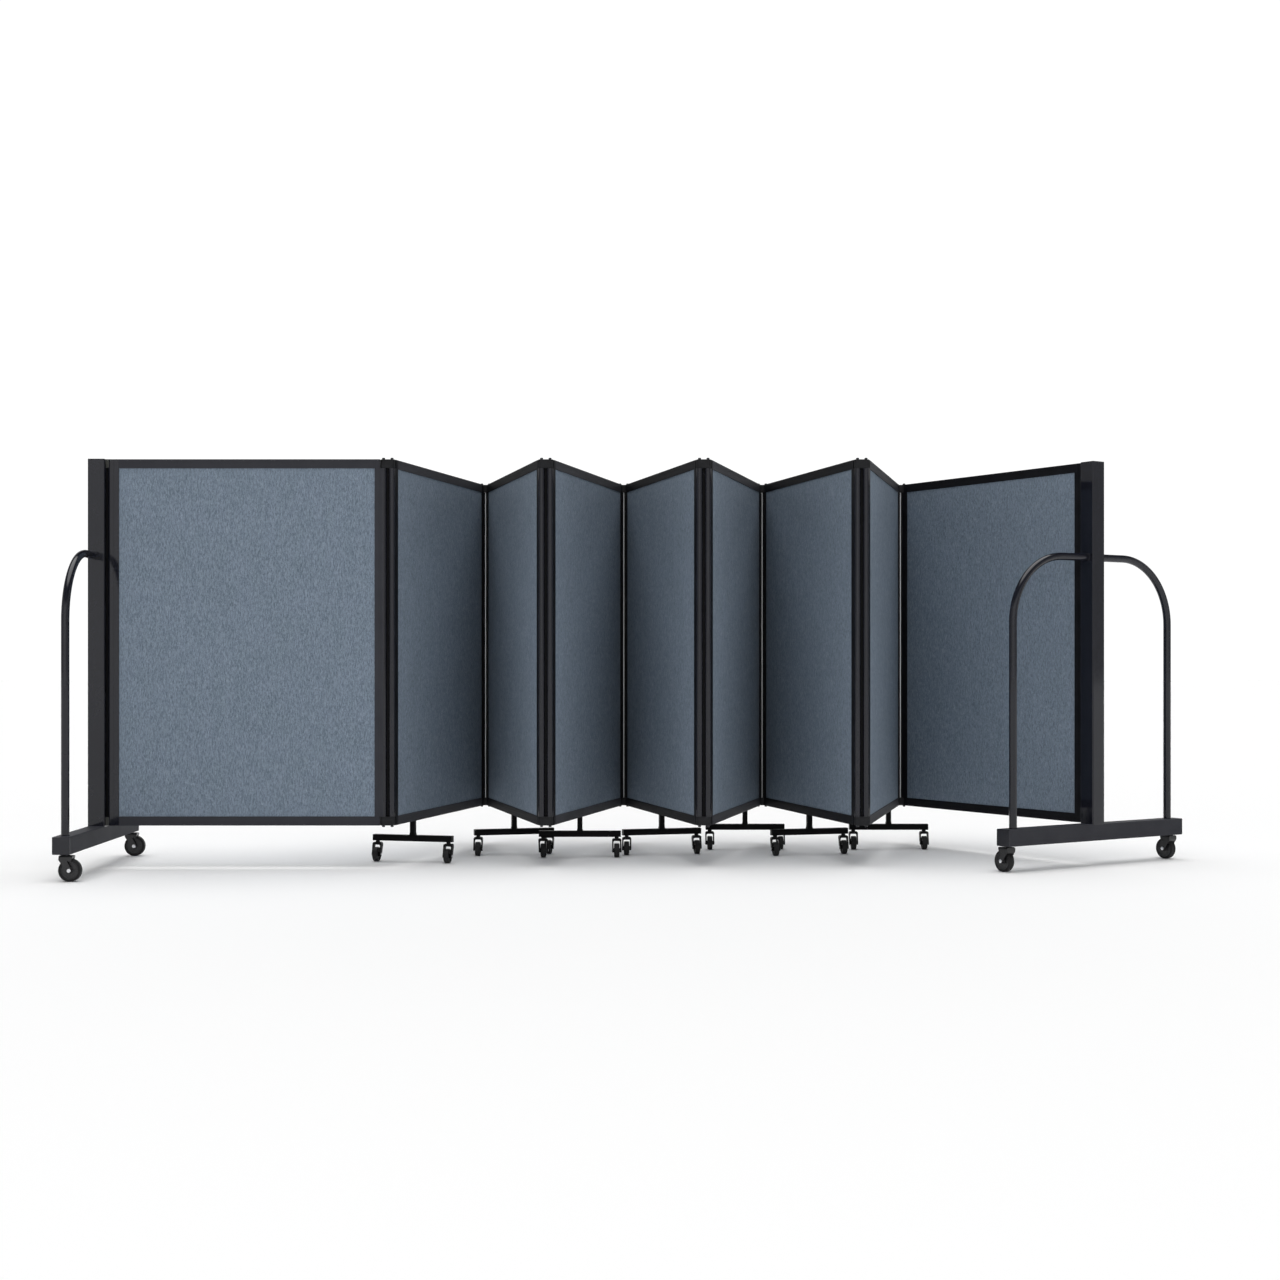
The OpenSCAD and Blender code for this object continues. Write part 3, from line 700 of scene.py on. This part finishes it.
def frame_at(point, way):
    """The frame that stands on the floor under a point, with its X axis the given way."""
    return shift(point.x, point.y) @ turn(math.degrees(math.atan2(way.y, way.x)))


def post_centre(end):
    return (JOINTS[f"end_swivel_{end}_front"] + JOINTS[f"end_swivel_{end}_rear"]) / 2


def leaf_frame_at(i):
    """The frame of leaf i, from the first of its two pins to the second."""
    if i == 1:
        way = JOINTS["hinge_1_pin_a"] - post_centre("left")
        way.z = 0
        return frame_at(JOINTS["hinge_1_pin_a"] - way.normalized() * LEAF_L, way)
    start = JOINTS[f"hinge_{i - 1}_pin_b"]
    end = JOINTS[f"hinge_{i}_pin_a"] if i < LEAVES else post_centre("right")
    return frame_at(start, end - start)


def hinge_at(i):
    start = JOINTS[f"hinge_{i}_pin_a"]
    return frame_at(start, JOINTS[f"hinge_{i}_pin_b"] - start)


def leg_at(i):
    left, right = (JOINTS[f"leg_swivel_{i}_{side}"] for side in SIDES)
    return frame_at((left + right) / 2, right - left)


def leg_caster_at(i, side):
    """A T-leg caster's frame, with its wheel on the +X side of the swivel."""
    swivel = JOINTS[f"leg_swivel_{i}_{side}"]
    low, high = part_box(f"leg_caster_{i}_{side}")
    return frame_at(swivel, (low + high) / 2 - swivel)


def end_at(end):
    """An end frame's own frame, with its leaf on the +X side and its bar along Y."""
    inner = JOINTS["hinge_1_pin_a" if end == "left" else f"hinge_{LEAVES - 1}_pin_b"]
    return frame_at(post_centre(end), inner - post_centre(end))


def end_caster_at(end, depth):
    swivel = JOINTS[f"end_swivel_{end}_{depth}"]
    return frame_at(swivel, JOINTS[f"end_spin_{end}_{depth}"] - swivel)


LEG_LOW = JOINTS["leg_swivel_2_left"].z
END_LOW = JOINTS["end_swivel_left_front"].z
BAR_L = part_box("end_frame_left")[1].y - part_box("end_frame_left")[0].y
POST_OFF = leaf_frame_at(1).translation.x - post_centre("left").x


# ---- Leaves ----

def stile_outline():
    """Section of a stile, with a thin line where its round nose meets the flat faces."""
    y, x = NOSE_R, STILE_LINE_AT
    lower = [(x, -y), (x, LINE_DEPTH - y), (x + LINE_W, LINE_DEPTH - y), (x + LINE_W, -y)]
    lower += arc((STILE_W - CORNER_R, CORNER_R - y), CORNER_R, 270, 360, 3)
    upper = [(px, -py) for px, py in reversed(lower)]
    return arc((0, 0), y, 90, 270, 24) + lower + upper


def stile_mesh(notched):
    """Stile with a groove for the board, and at its ends notches for hinge blocks or holes."""
    body = prism(stile_outline(), LEAF_LOW, LEAF_TOP, edge=STILE_EDGE, steps=1)
    groove_t = NOSE_R - LIP_T
    tucked = RAIL_H - GROOVE_DEPTH
    body = cut(body, box((STILE_W - GROOVE_DEPTH, -groove_t, LEAF_LOW + tucked),
                         (STILE_W + PAST, groove_t, LEAF_TOP - tucked)))
    if notched:
        side, around = NOSE_R + NOTCH_PAST_NOSE, 2 * PAST
        for low, high in ((LEAF_LOW - PAST, LEAF_LOW + NOTCH_H), (LEAF_TOP - NOTCH_H, LEAF_TOP + PAST)):
            body = cut(body, box((-around, -around, low), (side, around, high)))
    else:
        for z in (LEAF_LOW, LEAF_TOP):
            body = cut(body, disc(PIN_R, z - 2 * PAST, z + 2 * PAST, steps=24))
    return body


def rail_outline():
    """Section of a rail across the leaf (X) and up from its outer edge (Y)."""
    x, line = LEAF_T / 2, RAIL_LINE_AT
    right = arc((x - CORNER_R, CORNER_R), CORNER_R, 270, 360, 3)
    right += [(x, line - LINE_W / 2), (x - LINE_DEPTH, line - LINE_W / 2),
              (x - LINE_DEPTH, line + LINE_W / 2), (x, line + LINE_W / 2)]
    right += arc((x - CORNER_R, RAIL_H - CORNER_R), CORNER_R, 0, 90, 3)
    right += [(x - LIP_T, RAIL_H), (x - LIP_T, RAIL_H - GROOVE_DEPTH)]
    return right + [(-px, py) for px, py in reversed(right)]


def rail_mesh():
    """Rail that runs along X, from its outer edge at z = 0 up to the fabric."""
    start = STILE_W + JOINT_GAP
    rail = prism(rail_outline(), 0, LEAF_L - 2 * start, edge=RAIL_EDGE, steps=1)
    return moved(rail, shift(start) @ ALONG_X)


def stations(low, high, lip):
    """Places of a skin's grid lines from low to high: close together near the frame's lip at
    each end, and at most the skin's step apart between."""
    first = [low, low + lip - SKIN_BEFORE_LIP] + [low + lip + d for d in SKIN_STEPS_AT_LIP]
    last = [high + low - v for v in reversed(first)]
    count = max(1, math.ceil((last[0] - first[-1]) / SKIN_STEP))
    step = (last[0] - first[-1]) / count
    return first + [first[-1] + step * k for k in range(1, count)] + last


def skin_mesh(seed):
    """One face's fabric, on the -Y side, and its flat size. It is drawn taut over the board and
    dives under the frame's lips."""
    tuck = GROOVE_DEPTH - 2 * JOINT_GAP
    x0, x1 = STILE_W - tuck, LEAF_L - STILE_W + tuck
    z0, z1 = LEAF_LOW + RAIL_H - tuck, LEAF_TOP - RAIL_H + tuck
    xs = stations(x0, x1, tuck)
    zs = stations(z0, z1, tuck)
    lip_y = LIP_T + SKIN_UNDER_LIP - NOSE_R

    def face_y(x, z):
        clear = min(x - x0, x1 - x, z - z0, z1 - z) - tuck
        if clear <= 0:
            return lip_y
        rise = 1 - math.exp(-clear / SKIN_SWELL_WITHIN)
        wave = noise.noise(Vector((x, z, seed)) / SKIN_WAVE_LENGTH)
        return lip_y - rise * (SKIN_SWELL + SKIN_WAVE * wave)

    columns, rows = len(xs), len(zs)
    front = [(x, face_y(x, z), z) for z in zs for x in xs]
    back = [(x, lip_y + SKIN_T, z) for z in zs for x in xs]
    faces = []
    for r in range(rows - 1):
        for c in range(columns - 1):
            a = r * columns + c
            quad = (a, a + 1, a + 1 + columns, a + columns)
            faces.append(quad)
            faces.append(tuple(rows * columns + k for k in reversed(quad)))
    rim = list(range(columns))
    rim += [r * columns + columns - 1 for r in range(1, rows)]
    rim += [(rows - 1) * columns + c for c in range(columns - 2, -1, -1)]
    rim += [r * columns for r in range(rows - 2, 0, -1)]
    for k, a in enumerate(rim):
        b = rim[(k + 1) % len(rim)]
        faces.append((a, a + rows * columns, b + rows * columns, b))
    return made_mesh(front + back, faces), (x1 - x0, z1 - z0)


def make_leaves():
    notched, plain, rail = stile_mesh(True), stile_mesh(False), rail_mesh()
    to_end = shift(LEAF_L) @ MIRROR_X
    to_top = shift(z=LEAF_TOP) @ MIRROR_Z
    glossy_stile = (1, "start")

    def is_flat(centre):
        return NOSE_END < centre.x < LEAF_L - NOSE_END

    for i in range(1, LEAVES + 1):
        body, at = f"leaf_{i}", leaf_frame_at(i)
        node = f"leaf_frame_{i}"
        # Painted shade: the leaves after the first get darker stile flats, and the odd ones get darker
        # rails as well.
        stile_coat = leaf_coat["stile" if i == 1 else "shaded stile"]
        rail_coat = leaf_coat["shaded rail" if i > 1 and i % 2 else "rail"]
        for end, mesh in (("start", plain if i == 1 else notched),
                          ("end", moved(plain if i == LEAVES else notched, to_end))):
            place(f"leaf_{i}_stile_{end}", mesh, at, body, stile_coat,
                  [node], None if (i, end) == glossy_stile else is_flat)
        for end, mesh in (("bottom", moved(rail, shift(z=LEAF_LOW))), ("top", moved(rail, to_top))):
            place(f"leaf_{i}_rail_{end}", mesh, at, body, rail_coat, [node])
        for face, side in (("front", 1), ("back", -1)):
            mesh, flat = skin_mesh(i * side * SKIN_SEED_STEP)
            if side < 0:
                mesh = moved(mesh, MIRROR_Y)
            skin = place(f"leaf_{i}_fabric_{face}", mesh, at, body, fabric,
                         [f"leaf_fabric_{i}"])


# ---- Hinges ----

def pin_mesh():
    """Headed pin that hangs in a block, with its head's underside at z = 0."""
    r, h, soft = PIN_HEAD_R, PIN_HEAD_H, PIN_HEAD_EDGE
    tip = -BLOCK_H - PIN_REACH
    shank = [(0, tip), (PIN_R, tip), (PIN_R, JOINT_GAP), (r, JOINT_GAP)]
    rim = arc((r - soft, h - soft), soft, 0, 90, 6)
    dimple = [(x, h - depth) for x, depth in reversed(PIN_DIMPLE)]
    return lathe(shank + rim + dimple, 32)


def block_mesh():
    """Hinge block with a bore for each pin."""
    outline = arc((0, 0), NOSE_R, 90, 270, 20) + arc((PIN_PITCH, 0), NOSE_R, -90, 90, 20)
    block = prism(outline, 0, BLOCK_H, edge=BLOCK_EDGE, steps=3)
    for x in (0, PIN_PITCH):
        block = cut(block, disc(PIN_R + PIN_CLEAR, -PAST, BLOCK_H + PAST, 32, centre=(x, 0)))
    return block


def seal_meshes():
    """The bar that closes the gap between two leaves, hollow along their rounded edges, and
    the light strip on its +Y side."""
    low, high = LEAF_LOW + BLOCK_H, LEAF_TOP - BLOCK_H
    lean = math.degrees(math.asin(SEAL_T / 2 / NOSE_R))
    side = [(x - PIN_PITCH / 2, y) for x, y in arc((0, 0), NOSE_R + SEAL_CLEAR, lean, -lean, 6)]
    outline = side + [(-x, -y) for x, y in side]
    bar = prism(outline, low - SEAL_TUCK, high + SEAL_TUCK)
    face = rounded_rectangle(SEAL_FACE_W, SEAL_FACE_T, SEAL_FACE_R)
    strip = prism(face, low + JOINT_GAP, high - JOINT_GAP)
    out = (SEAL_T + SEAL_FACE_T) / 2 + JOINT_GAP
    return moved(bar, shift(PIN_PITCH / 2)), moved(strip, shift(PIN_PITCH / 2, out))


def make_hinges():
    block, pin = block_mesh(), pin_mesh()
    seal, strip = seal_meshes()
    for i in range(1, LEAVES):
        body, at, node = f"link_{i}", hinge_at(i), f"hinge_{i}"
        for level, z in (("bottom", LEAF_LOW), ("top", LEAF_TOP - BLOCK_H)):
            place(f"hinge_{i}_block_{level}", moved(block, shift(z=z)), at, body,
                  hinge_plastic, [node])
        pins = []
        for x in (0, PIN_PITCH):
            pins.append(moved(pin, shift(x, 0, LEAF_TOP)))
            pins.append(moved(pin, shift(x, 0, LEAF_LOW) @ MIRROR_Z))
        place(f"hinge_{i}_pins", joined(*pins), at, body, steel_coat, [node])
        inner = shift() if i % 2 else MIRROR_Y
        place(f"hinge_{i}_seal", seal, at, body, seal_rubber, [node])
        place(f"hinge_{i}_seal_strip", moved(strip, inner), at, body, seal_vinyl, [node])


# ---- T-legs ----

def leg_mesh():
    """T-leg: its bar, and its stem whose foot widens to the bar's width."""
    bar_top = LEG_LOW + LEG_T
    square = rounded_rectangle(LEG_T, LEG_T, LEG_CORNER_R)
    half = LEG_BAR_L / 2 - PLUG_T - JOINT_GAP
    along_x = shift(z=LEG_LOW + LEG_T / 2) @ turn(90, "Y")
    bar = moved(prism(square, -half, half), along_x)
    slim = rounded_rectangle(LEG_STEM_T, LEG_STEM_T, LEG_CORNER_R)
    stem = prism(slim, bar_top - LEG_STEM_SUNK, LEAF_LOW)
    wide = [(x * LEG_FOOT_SHARE, y * LEG_FOOT_SHARE) for x, y in square]
    levels = ((wide, bar_top - LEG_CORNER_R), (wide, bar_top), (slim, bar_top + LEG_FOOT_H))
    foot = loft([[(x, y, z) for x, y in outline] for outline, z in levels])
    return fused(bar, stem, foot)


def plug_mesh(side, thickness, corner_r):
    """Plug in the end of a square tube, with its outer face at z = 0 and the tube below."""
    return prism(rounded_rectangle(side, side, corner_r), -thickness, 0, edge=PLUG_EDGE, steps=3)


def make_legs():
    leg, plug = leg_mesh(), plug_mesh(LEG_T, PLUG_T, LEG_CORNER_R)
    for i in range(2, LEAVES):
        body, at, node = f"leaf_{i}", leg_at(i), f"leg_{i}"
        place(f"leg_{i}_stem_and_bar", leg, at, body, leg_coat, [node])
        for side, a in (("left", -90), ("right", 90)):
            to_end = shift(z=LEG_LOW + LEG_T / 2) @ turn(a, "Y") @ shift(z=LEG_BAR_L / 2)
            place(f"leg_{i}_plug_{side}", moved(plug, to_end), at, body,
                  leg_caster_plastic, [node])


# ---- End frames and hoops ----

def make_end_frames():
    """Both end frames, which are alike, with their hoops."""
    def is_bar(centre):
        return centre.z < LEAF_LOW + MATT_ABOVE_BAR

    square = rounded_rectangle(TUBE, TUBE, TUBE_CORNER_R, steps=5)
    half = BAR_L / 2 - CAP_T - JOINT_GAP
    middle = shift(z=END_LOW + TUBE / 2)
    bar = moved(prism(square, -half, half), middle @ turn(90, "X"))
    post = prism(square, LEAF_LOW - POST_SUNK, LEAF_TOP - CAP_T)
    heights = (("bottom", LEAF_LOW + SPACER_H / 2), ("top", LEAF_TOP - SPACER_H / 2))
    frame_mesh = cut(fused(bar, post),
                     *(room(z) for room in (bolt_room, bolt_access) for _, z in heights))
    cap = plug_mesh(TUBE, CAP_T, TUBE_CORNER_R)
    caps = (("bar_cap_front", middle @ turn(90, "X") @ shift(z=BAR_L / 2)),
            ("bar_cap_rear", middle @ turn(-90, "X") @ shift(z=BAR_L / 2)),
            ("post_cap", shift(z=LEAF_TOP)))
    head, spacer, access_plug = bolt_mesh(), spacer_mesh(), access_plug_mesh()
    for end in SIDES:
        body = "leaf_1" if end == "left" else f"leaf_{LEAVES}"
        at, node = end_at(end), f"end_frame_{end}"
        place(f"end_{end}_bar_and_post", frame_mesh, at, body, steel_coat, [node],
              is_bar)
        for name, matrix in caps:
            place(f"end_{end}_{name}", moved(cap, matrix), at, body, steel_coat, [node])
        for level, z in heights:
            seat = shift(TUBE / 2 - TUBE_WALL - JOINT_GAP, 0, z) @ turn(-90, "Y")
            place(f"end_{end}_spacer_{level}", moved(spacer, shift(z=z)), at, body,
                  spacer_plastic, [node])
            place(f"end_{end}_access_plug_{level}", moved(access_plug, shift(z=z)), at, body,
                  steel_coat, [node])
            place(f"end_{end}_bolt_{level}", moved(head, seat), at, body, zinc, [node])
        place(f"end_{end}_post_seal", post_seal_mesh(), at, body, seal_rubber, [node])
        place(f"end_{end}_welds", joined(*weld_meshes()), at, body, steel_coat, [node])
        place(f"hoop_{end}_tube", hoop_mesh(), at, body, steel_coat, [f"hoop_{end}"])


def bolt_room(z):
    """The hollow of the post around a bolt's head."""
    half = TUBE / 2 - TUBE_WALL
    low = max(z - BOLT_ROOM, LEAF_LOW + TUBE_WALL)
    high = min(z + BOLT_ROOM, LEAF_TOP - 2 * CAP_T)
    return box((-half, -half, low), (half, half, high))


def bolt_access(z):
    """The hole in the post's outer wall through which a bolt is reached."""
    hole = disc(ACCESS_R, -TUBE, -TUBE_WALL * 2, steps=48)
    return moved(hole, shift(z=z) @ turn(90, "Y"))


def access_plug_mesh():
    """Plug that closes an access hole flush, centred on the hole."""
    plug = disc(ACCESS_R - JOINT_GAP, 0, PLUG_T, steps=48, edge=ACCESS_PLUG_EDGE)
    return moved(plug, shift(-TUBE / 2) @ turn(90, "Y"))


def bead(path, closed=False):
    """Weld bead along a path, with the ripples of its runs."""
    radii = [BEAD_R * sum((share * math.cos(pace * k) for share, pace in RIPPLES), 1.0)
             for k in range(len(path))]
    return sweep(path, radii, steps=8, closed=closed)


def weld_meshes():
    """Beads at the post's foot, at the hoop's feet and where the hoop goes through the post."""
    half, run = TUBE / 2, TUBE / 2 - TUBE_CORNER_R
    steps = 22
    around = circle(HOOP_R, 60)
    beads = []
    for side in (-1, 1):
        foot = [(run * (k / steps - 1), side * half, LEAF_LOW) for k in range(2 * steps + 1)]
        beads.append(bead(foot))
        beads.append(bead([(x, side * HOOP_W / 2 + y, LEAF_LOW) for x, y in around], closed=True))
        beads.append(bead([(x, side * half, HOOP_TOP + z) for x, z in around], closed=True))
    return beads


def bolt_mesh():
    """Low button head with a hexagon socket, on the plane z = 0."""
    r, h, rim = BOLT_HEAD_R, BOLT_HEAD_H, BOLT_RIM_H
    dome = [(r * math.cos(a), rim + (h - rim) * math.sin(a))
            for a in (math.radians(12 * k) for k in range(6))]
    head = lathe([(0, 0), (r, 0)] + dome + [(0, h)], 32)
    return cut(head, disc(BOLT_SOCKET_R, BOLT_SOCKET_FLOOR, h + PAST, steps=6))


def spacer_mesh():
    """Plastic spacer between the post and the stile's nose, centred on its bolt."""
    front = TUBE / 2 + JOINT_GAP
    reach = POST_OFF - NOSE_R
    block = box((front, -NOSE_R, -SPACER_H / 2), (reach + NOSE_R / 2, NOSE_R, SPACER_H / 2))
    nose = disc(NOSE_R + JOINT_GAP, -SPACER_H, SPACER_H, 32, centre=(POST_OFF, 0))
    return cut(block, nose)


def post_seal_mesh():
    """Rubber seal between the spacers, hollow along the stile's nose."""
    front, lip = TUBE / 2 + JOINT_GAP, math.degrees(math.asin(POST_SEAL_W / 2 / NOSE_R))
    nose = [(POST_OFF + x, y) for x, y in arc((0, 0), NOSE_R + SEAL_CLEAR, 180 + lip, 180 - lip, 10)]
    outline = nose + [(front, POST_SEAL_W / 2), (front, -POST_SEAL_W / 2)]
    ends = SPACER_H + JOINT_GAP
    return prism(outline, LEAF_LOW + ends, LEAF_TOP - ends)


def hoop_mesh():
    """Bent tube from the base bar up, through the post and down again."""
    side, up = HOOP_W / 2, HOOP_TOP - HOOP_BEND
    upright = [(0, side, z) for z in (LEAF_LOW, LEAF_LOW + HOOP_FOOT_H, up)]
    bend = [(0, y, z) for y, z in arc((side - HOOP_BEND, up), HOOP_BEND, 0, 90, 24)]
    half = upright + bend[1:]
    path = half + [(0, -y, z) for _, y, z in reversed(half)]
    return sweep(path, HOOP_R, steps=28)


# ---- Casters ----

def fork_side(c):
    """A fork seen from the side, as (behind the swivel, up), counter-clockwise."""
    roof = c["height"] - c["neck_h"]
    crown, crown_r = (0, roof - c["crown_r"]), c["crown_r"]
    boss, boss_r = (c["trail"], c["wheel_r"]), c["boss_r"]
    way = Vector(boss) - Vector(crown)
    a = math.degrees(math.atan2(way.y, way.x))
    b = math.degrees(math.acos((crown_r - boss_r) / way.length))
    corner = FORK_CORNER_R
    outline = arc(boss, boss_r, a - b, a + b, 14)
    if c["hood"]:
        inner, outer = c["wheel_r"] - HOOD_OVER_RIM, roof - c["wheel_r"] - HOOD_DROP
        low, high = Vector(outline[-1]), Vector(arc(crown, crown_r, a + b, a + b, 1)[0])
        notch = low.lerp(high, HOOD_NOTCH_AT)
        outline += [(notch.x + x, notch.y + y) for x, y in HOOD_NOTCH]
        outline += arc(boss, inner, HOOD_STARTS[0], HOOD_END, 9)
        outline += arc(boss, outer, HOOD_END, HOOD_STARTS[1], 9)
    else:
        back = max(crown_r, c["trail"])
        outline += [(back, roof - crown_r)]
        outline += arc((back - corner, roof - corner), corner, 0, 90, 4)
    outline += arc((corner - crown_r, roof - corner), corner, 90, 180, 4)
    return outline + arc(crown, crown_r, 180, 360 + a - b, 4)


def arch(half, low, top, radius, steps):
    """Arch drawn as (across, up), with rounded shoulders."""
    return ([(-half, low), (half, low)] + arc((half - radius, top - radius), radius, 0, 90, steps)
            + arc((radius - half, top - radius), radius, 90, 180, steps))


def fork_mesh(c):
    """Fork with its swivel on the Z axis and its wheel behind it, on the +X side."""
    roof = c["height"] - c["neck_h"]
    inside = c["wheel_w"] / 2 + WHEEL_GAP
    outside = inside + c["arm_t"]
    side = moved(prism(fork_side(c), -outside - SUNK, outside + SUNK), turn(90, "X"))
    front = prism(arch(outside, 0, roof, c["shoulder"], 6), -FAR, FAR)
    fork = boolean(side, moved(front, ALONG_X), "INTERSECT")
    if c["hood"]:
        room_r = c["wheel_r"] + WHEEL_ROOM
        room = prism(arc((c["trail"], c["wheel_r"]), room_r, 0, 180, 20)
                     + [(c["trail"] - room_r, -PAST), (c["trail"] + room_r, -PAST)], -inside, inside)
        fork = cut(fork, moved(room, turn(90, "X")))
        below = box((-FAR, -inside, -PAST), (FAR, inside, c["wheel_r"] + ARMS_SPLIT_H))
        fork = cut(fork, below)
    else:
        window = prism(arch(inside, -PAST, roof - c["roof_t"], WINDOW_R, 5), -FAR, FAR)
        fork = cut(fork, moved(window, ALONG_X))
    fork = softened(fork, FORK_EDGE)
    neck_top, r = c["height"] - SEAT_GAP, c["neck_r"]
    neck = lathe([(0, roof - SUNK), (r, roof - SUNK)] + [(r - x, roof + z) for x, z in NECK_COLLAR]
                 + [(r - x, neck_top - z) for x, z in NECK_TOP] + [(0, neck_top)], 32)
    return fused(fork, neck)


def on_axle(mesh, c):
    """A mesh turned from the Z axis onto a caster's axle."""
    return moved(mesh, shift(c["trail"], 0, c["wheel_r"]) @ turn(90, "X"))


def axle_mesh(c):
    """Riveted axle along Y, in the wheel's middle."""
    outside = c["wheel_w"] / 2 + WHEEL_GAP + c["arm_t"] + JOINT_GAP
    r, head_r, h = c["axle_r"], c["axle_r"] + AXLE_HEAD_OVER, AXLE_HEAD_H
    rim = AXLE_RIM_SHARE
    half = [(r, outside), (head_r, outside), (head_r, outside + rim * h)]
    half += [(head_r * math.cos(t), outside + rim * h + (1 - rim) * h * math.sin(t))
             for t in (math.radians(15 * k) for k in range(1, 6))]
    half += [(0, outside + h)]
    profile = [(p, -q) for p, q in reversed(half)] + half
    return on_axle(lathe(profile, 28), c)


def tyre_mesh(c):
    """Tread ring with rounded shoulders and a shallow groove on each side."""
    r, half, soft = c["wheel_r"], c["wheel_w"] / 2, TREAD_ROUND
    inner = r - RIM_H
    side = [(inner + out, half - depth) for out, depth in TYRE_GROOVE]
    side += arc((r - soft, half - soft), soft, 90, 12, 6)
    profile = [(p, -q) for p, q in reversed(side)] + [(r, 0)] + side
    return on_axle(lathe(profile, 64), c)


def core_mesh(c):
    """Wheel centre: hub, web and rim. An end wheel's web has arc recesses."""
    r, half = c["wheel_r"], c["wheel_w"] / 2
    hub_r = c["axle_r"] + HUB_WALL
    hub_half = half + WHEEL_GAP - SEAT_GAP
    rim, web = r - RIM_H - JOINT_GAP, half - WEB_DEPTH
    soft, face = CORE_EDGE, half - RIM_SUNK
    side = [(0, hub_half), (hub_r - soft, hub_half), (hub_r, hub_half - soft), (hub_r, web + soft),
            (hub_r + soft, web), (rim - 2 * soft - CORE_STEP, web),
            (rim - soft - CORE_STEP, web + soft), (rim - soft, face), (rim, face)]
    profile = [(p, -q) for p, q in side] + [(p, q) for p, q in reversed(side)]
    core = lathe(profile, 64)
    if c["hood"]:
        low, high = hub_r + RECESS_MARGIN, rim - RECESS_MARGIN
        cutters = []
        for k in range(RECESSES):
            start = 360 * k / RECESSES
            sector = (arc((0, 0), high, start, start + RECESS_SWEEP, 12)
                      + arc((0, 0), low, start + RECESS_SWEEP, start, 12))
            for z in (web - RECESS_DEPTH, -web - PAST):
                cutters.append(prism(sector, z, z + RECESS_DEPTH + PAST))
        core = cut(core, joined(*cutters))
    return on_axle(core, c)


def place_caster(name, meshes, at, bodies, plastic):
    """Places a caster. The fork and axle ride on the first body and the wheel on the second."""
    fork, axle, tyre, core = meshes
    holder, roller = bodies
    place(f"{name}_fork", fork, at, holder, plastic, [holder])
    place(f"{name}_axle", axle, at, holder, zinc, [holder])
    place(f"{name}_tyre", tyre, at, roller, tread_rubber, [roller])
    place(f"{name}_core", core, at, roller, plastic, [roller])


def make_casters():
    leg_set, end_set = ([made(c) for made in (fork_mesh, axle_mesh, tyre_mesh, core_mesh)]
                        for c in (LEG_CASTER, END_CASTER))
    for i in range(2, LEAVES):
        for side in SIDES:
            name = f"leg_caster_{i}_{side}"
            place_caster(name, leg_set, leg_caster_at(i, side), (name, name), leg_caster_plastic)
    for end in SIDES:
        for depth in DEPTHS:
            bodies = (f"end_fork_{end}_{depth}", f"end_wheel_{end}_{depth}")
            place_caster(f"end_caster_{end}_{depth}", end_set, end_caster_at(end, depth), bodies,
                         caster_plastic)


# ---- Stage, light and camera ----

def make_stage():
    """Pale paper floor."""
    corners = [(x * FLOOR_HALF, y * FLOOR_HALF, 0) for x, y in ((-1, -1), (1, -1), (1, 1), (-1, 1))]
    floor = bpy.data.objects.new("floor", made_mesh(corners, [(0, 1, 2, 3)]))
    n = Nodes("floor_paper")
    n.finish(Base_Color=(FLOOR_TONE, FLOOR_TONE, FLOOR_TONE, 1), Roughness=0.9)
    n.shader.inputs["Specular IOR Level"].default_value = 0.1
    floor.data.materials.append(n.material)
    bpy.context.scene.collection.objects.link(floor)


def make_light():
    """Soft light from a ring at the horizon, white at the front and the back, and from a round
    softbox straight above."""
    world = bpy.data.worlds.new("studio")
    world.use_nodes = True
    tree = world.node_tree

    def added(kind, value=None, **settings):
        node = tree.nodes.new(kind)
        for name, setting in settings.items():
            setattr(node, name, setting)
        if value is not None:
            tree.links.new(value, node.inputs[0])
        return node

    def levels(value, stops):
        ramp = added("ShaderNodeValToRGB", value)
        set_stops(ramp, [(position, (level,) * 3) for position, level in stops])
        return ramp.outputs["Color"]

    way = added("ShaderNodeSeparateXYZ", added("ShaderNodeTexCoord").outputs["Generated"])
    across = added("ShaderNodeMath", way.outputs["X"], operation="ABSOLUTE").outputs["Value"]
    ring = added("ShaderNodeVectorMath", levels(way.outputs["Z"], RING), operation="MULTIPLY")
    tree.links.new(levels(across, RING_SHARE), ring.inputs[1])
    both = added("ShaderNodeVectorMath", ring.outputs["Vector"], operation="ADD")
    tree.links.new(levels(way.outputs["Z"], SOFTBOX), both.inputs[1])
    tree.links.new(both.outputs["Vector"], tree.nodes["Background"].inputs["Color"])
    tree.nodes["Background"].inputs["Strength"].default_value = 1.0
    bpy.context.scene.world = world


def make_camera():
    """The camera of the photograph, level and with its frame shifted."""
    data = bpy.data.cameras.new("camera")
    data.sensor_width = SENSOR
    data.lens = LENS
    data.shift_x, data.shift_y = SHIFT
    data.clip_end = VIEW_END
    camera = bpy.data.objects.new("camera", data)
    camera.location = CAMERA_AT
    camera.rotation_euler = (math.radians(90), 0, 0)
    bpy.context.scene.collection.objects.link(camera)
    bpy.context.scene.camera = camera
    bpy.context.scene.view_settings.view_transform = "Standard"


make_camera()
make_stage()
make_light()
make_leaves()
make_hinges()
make_legs()
make_end_frames()
make_casters()
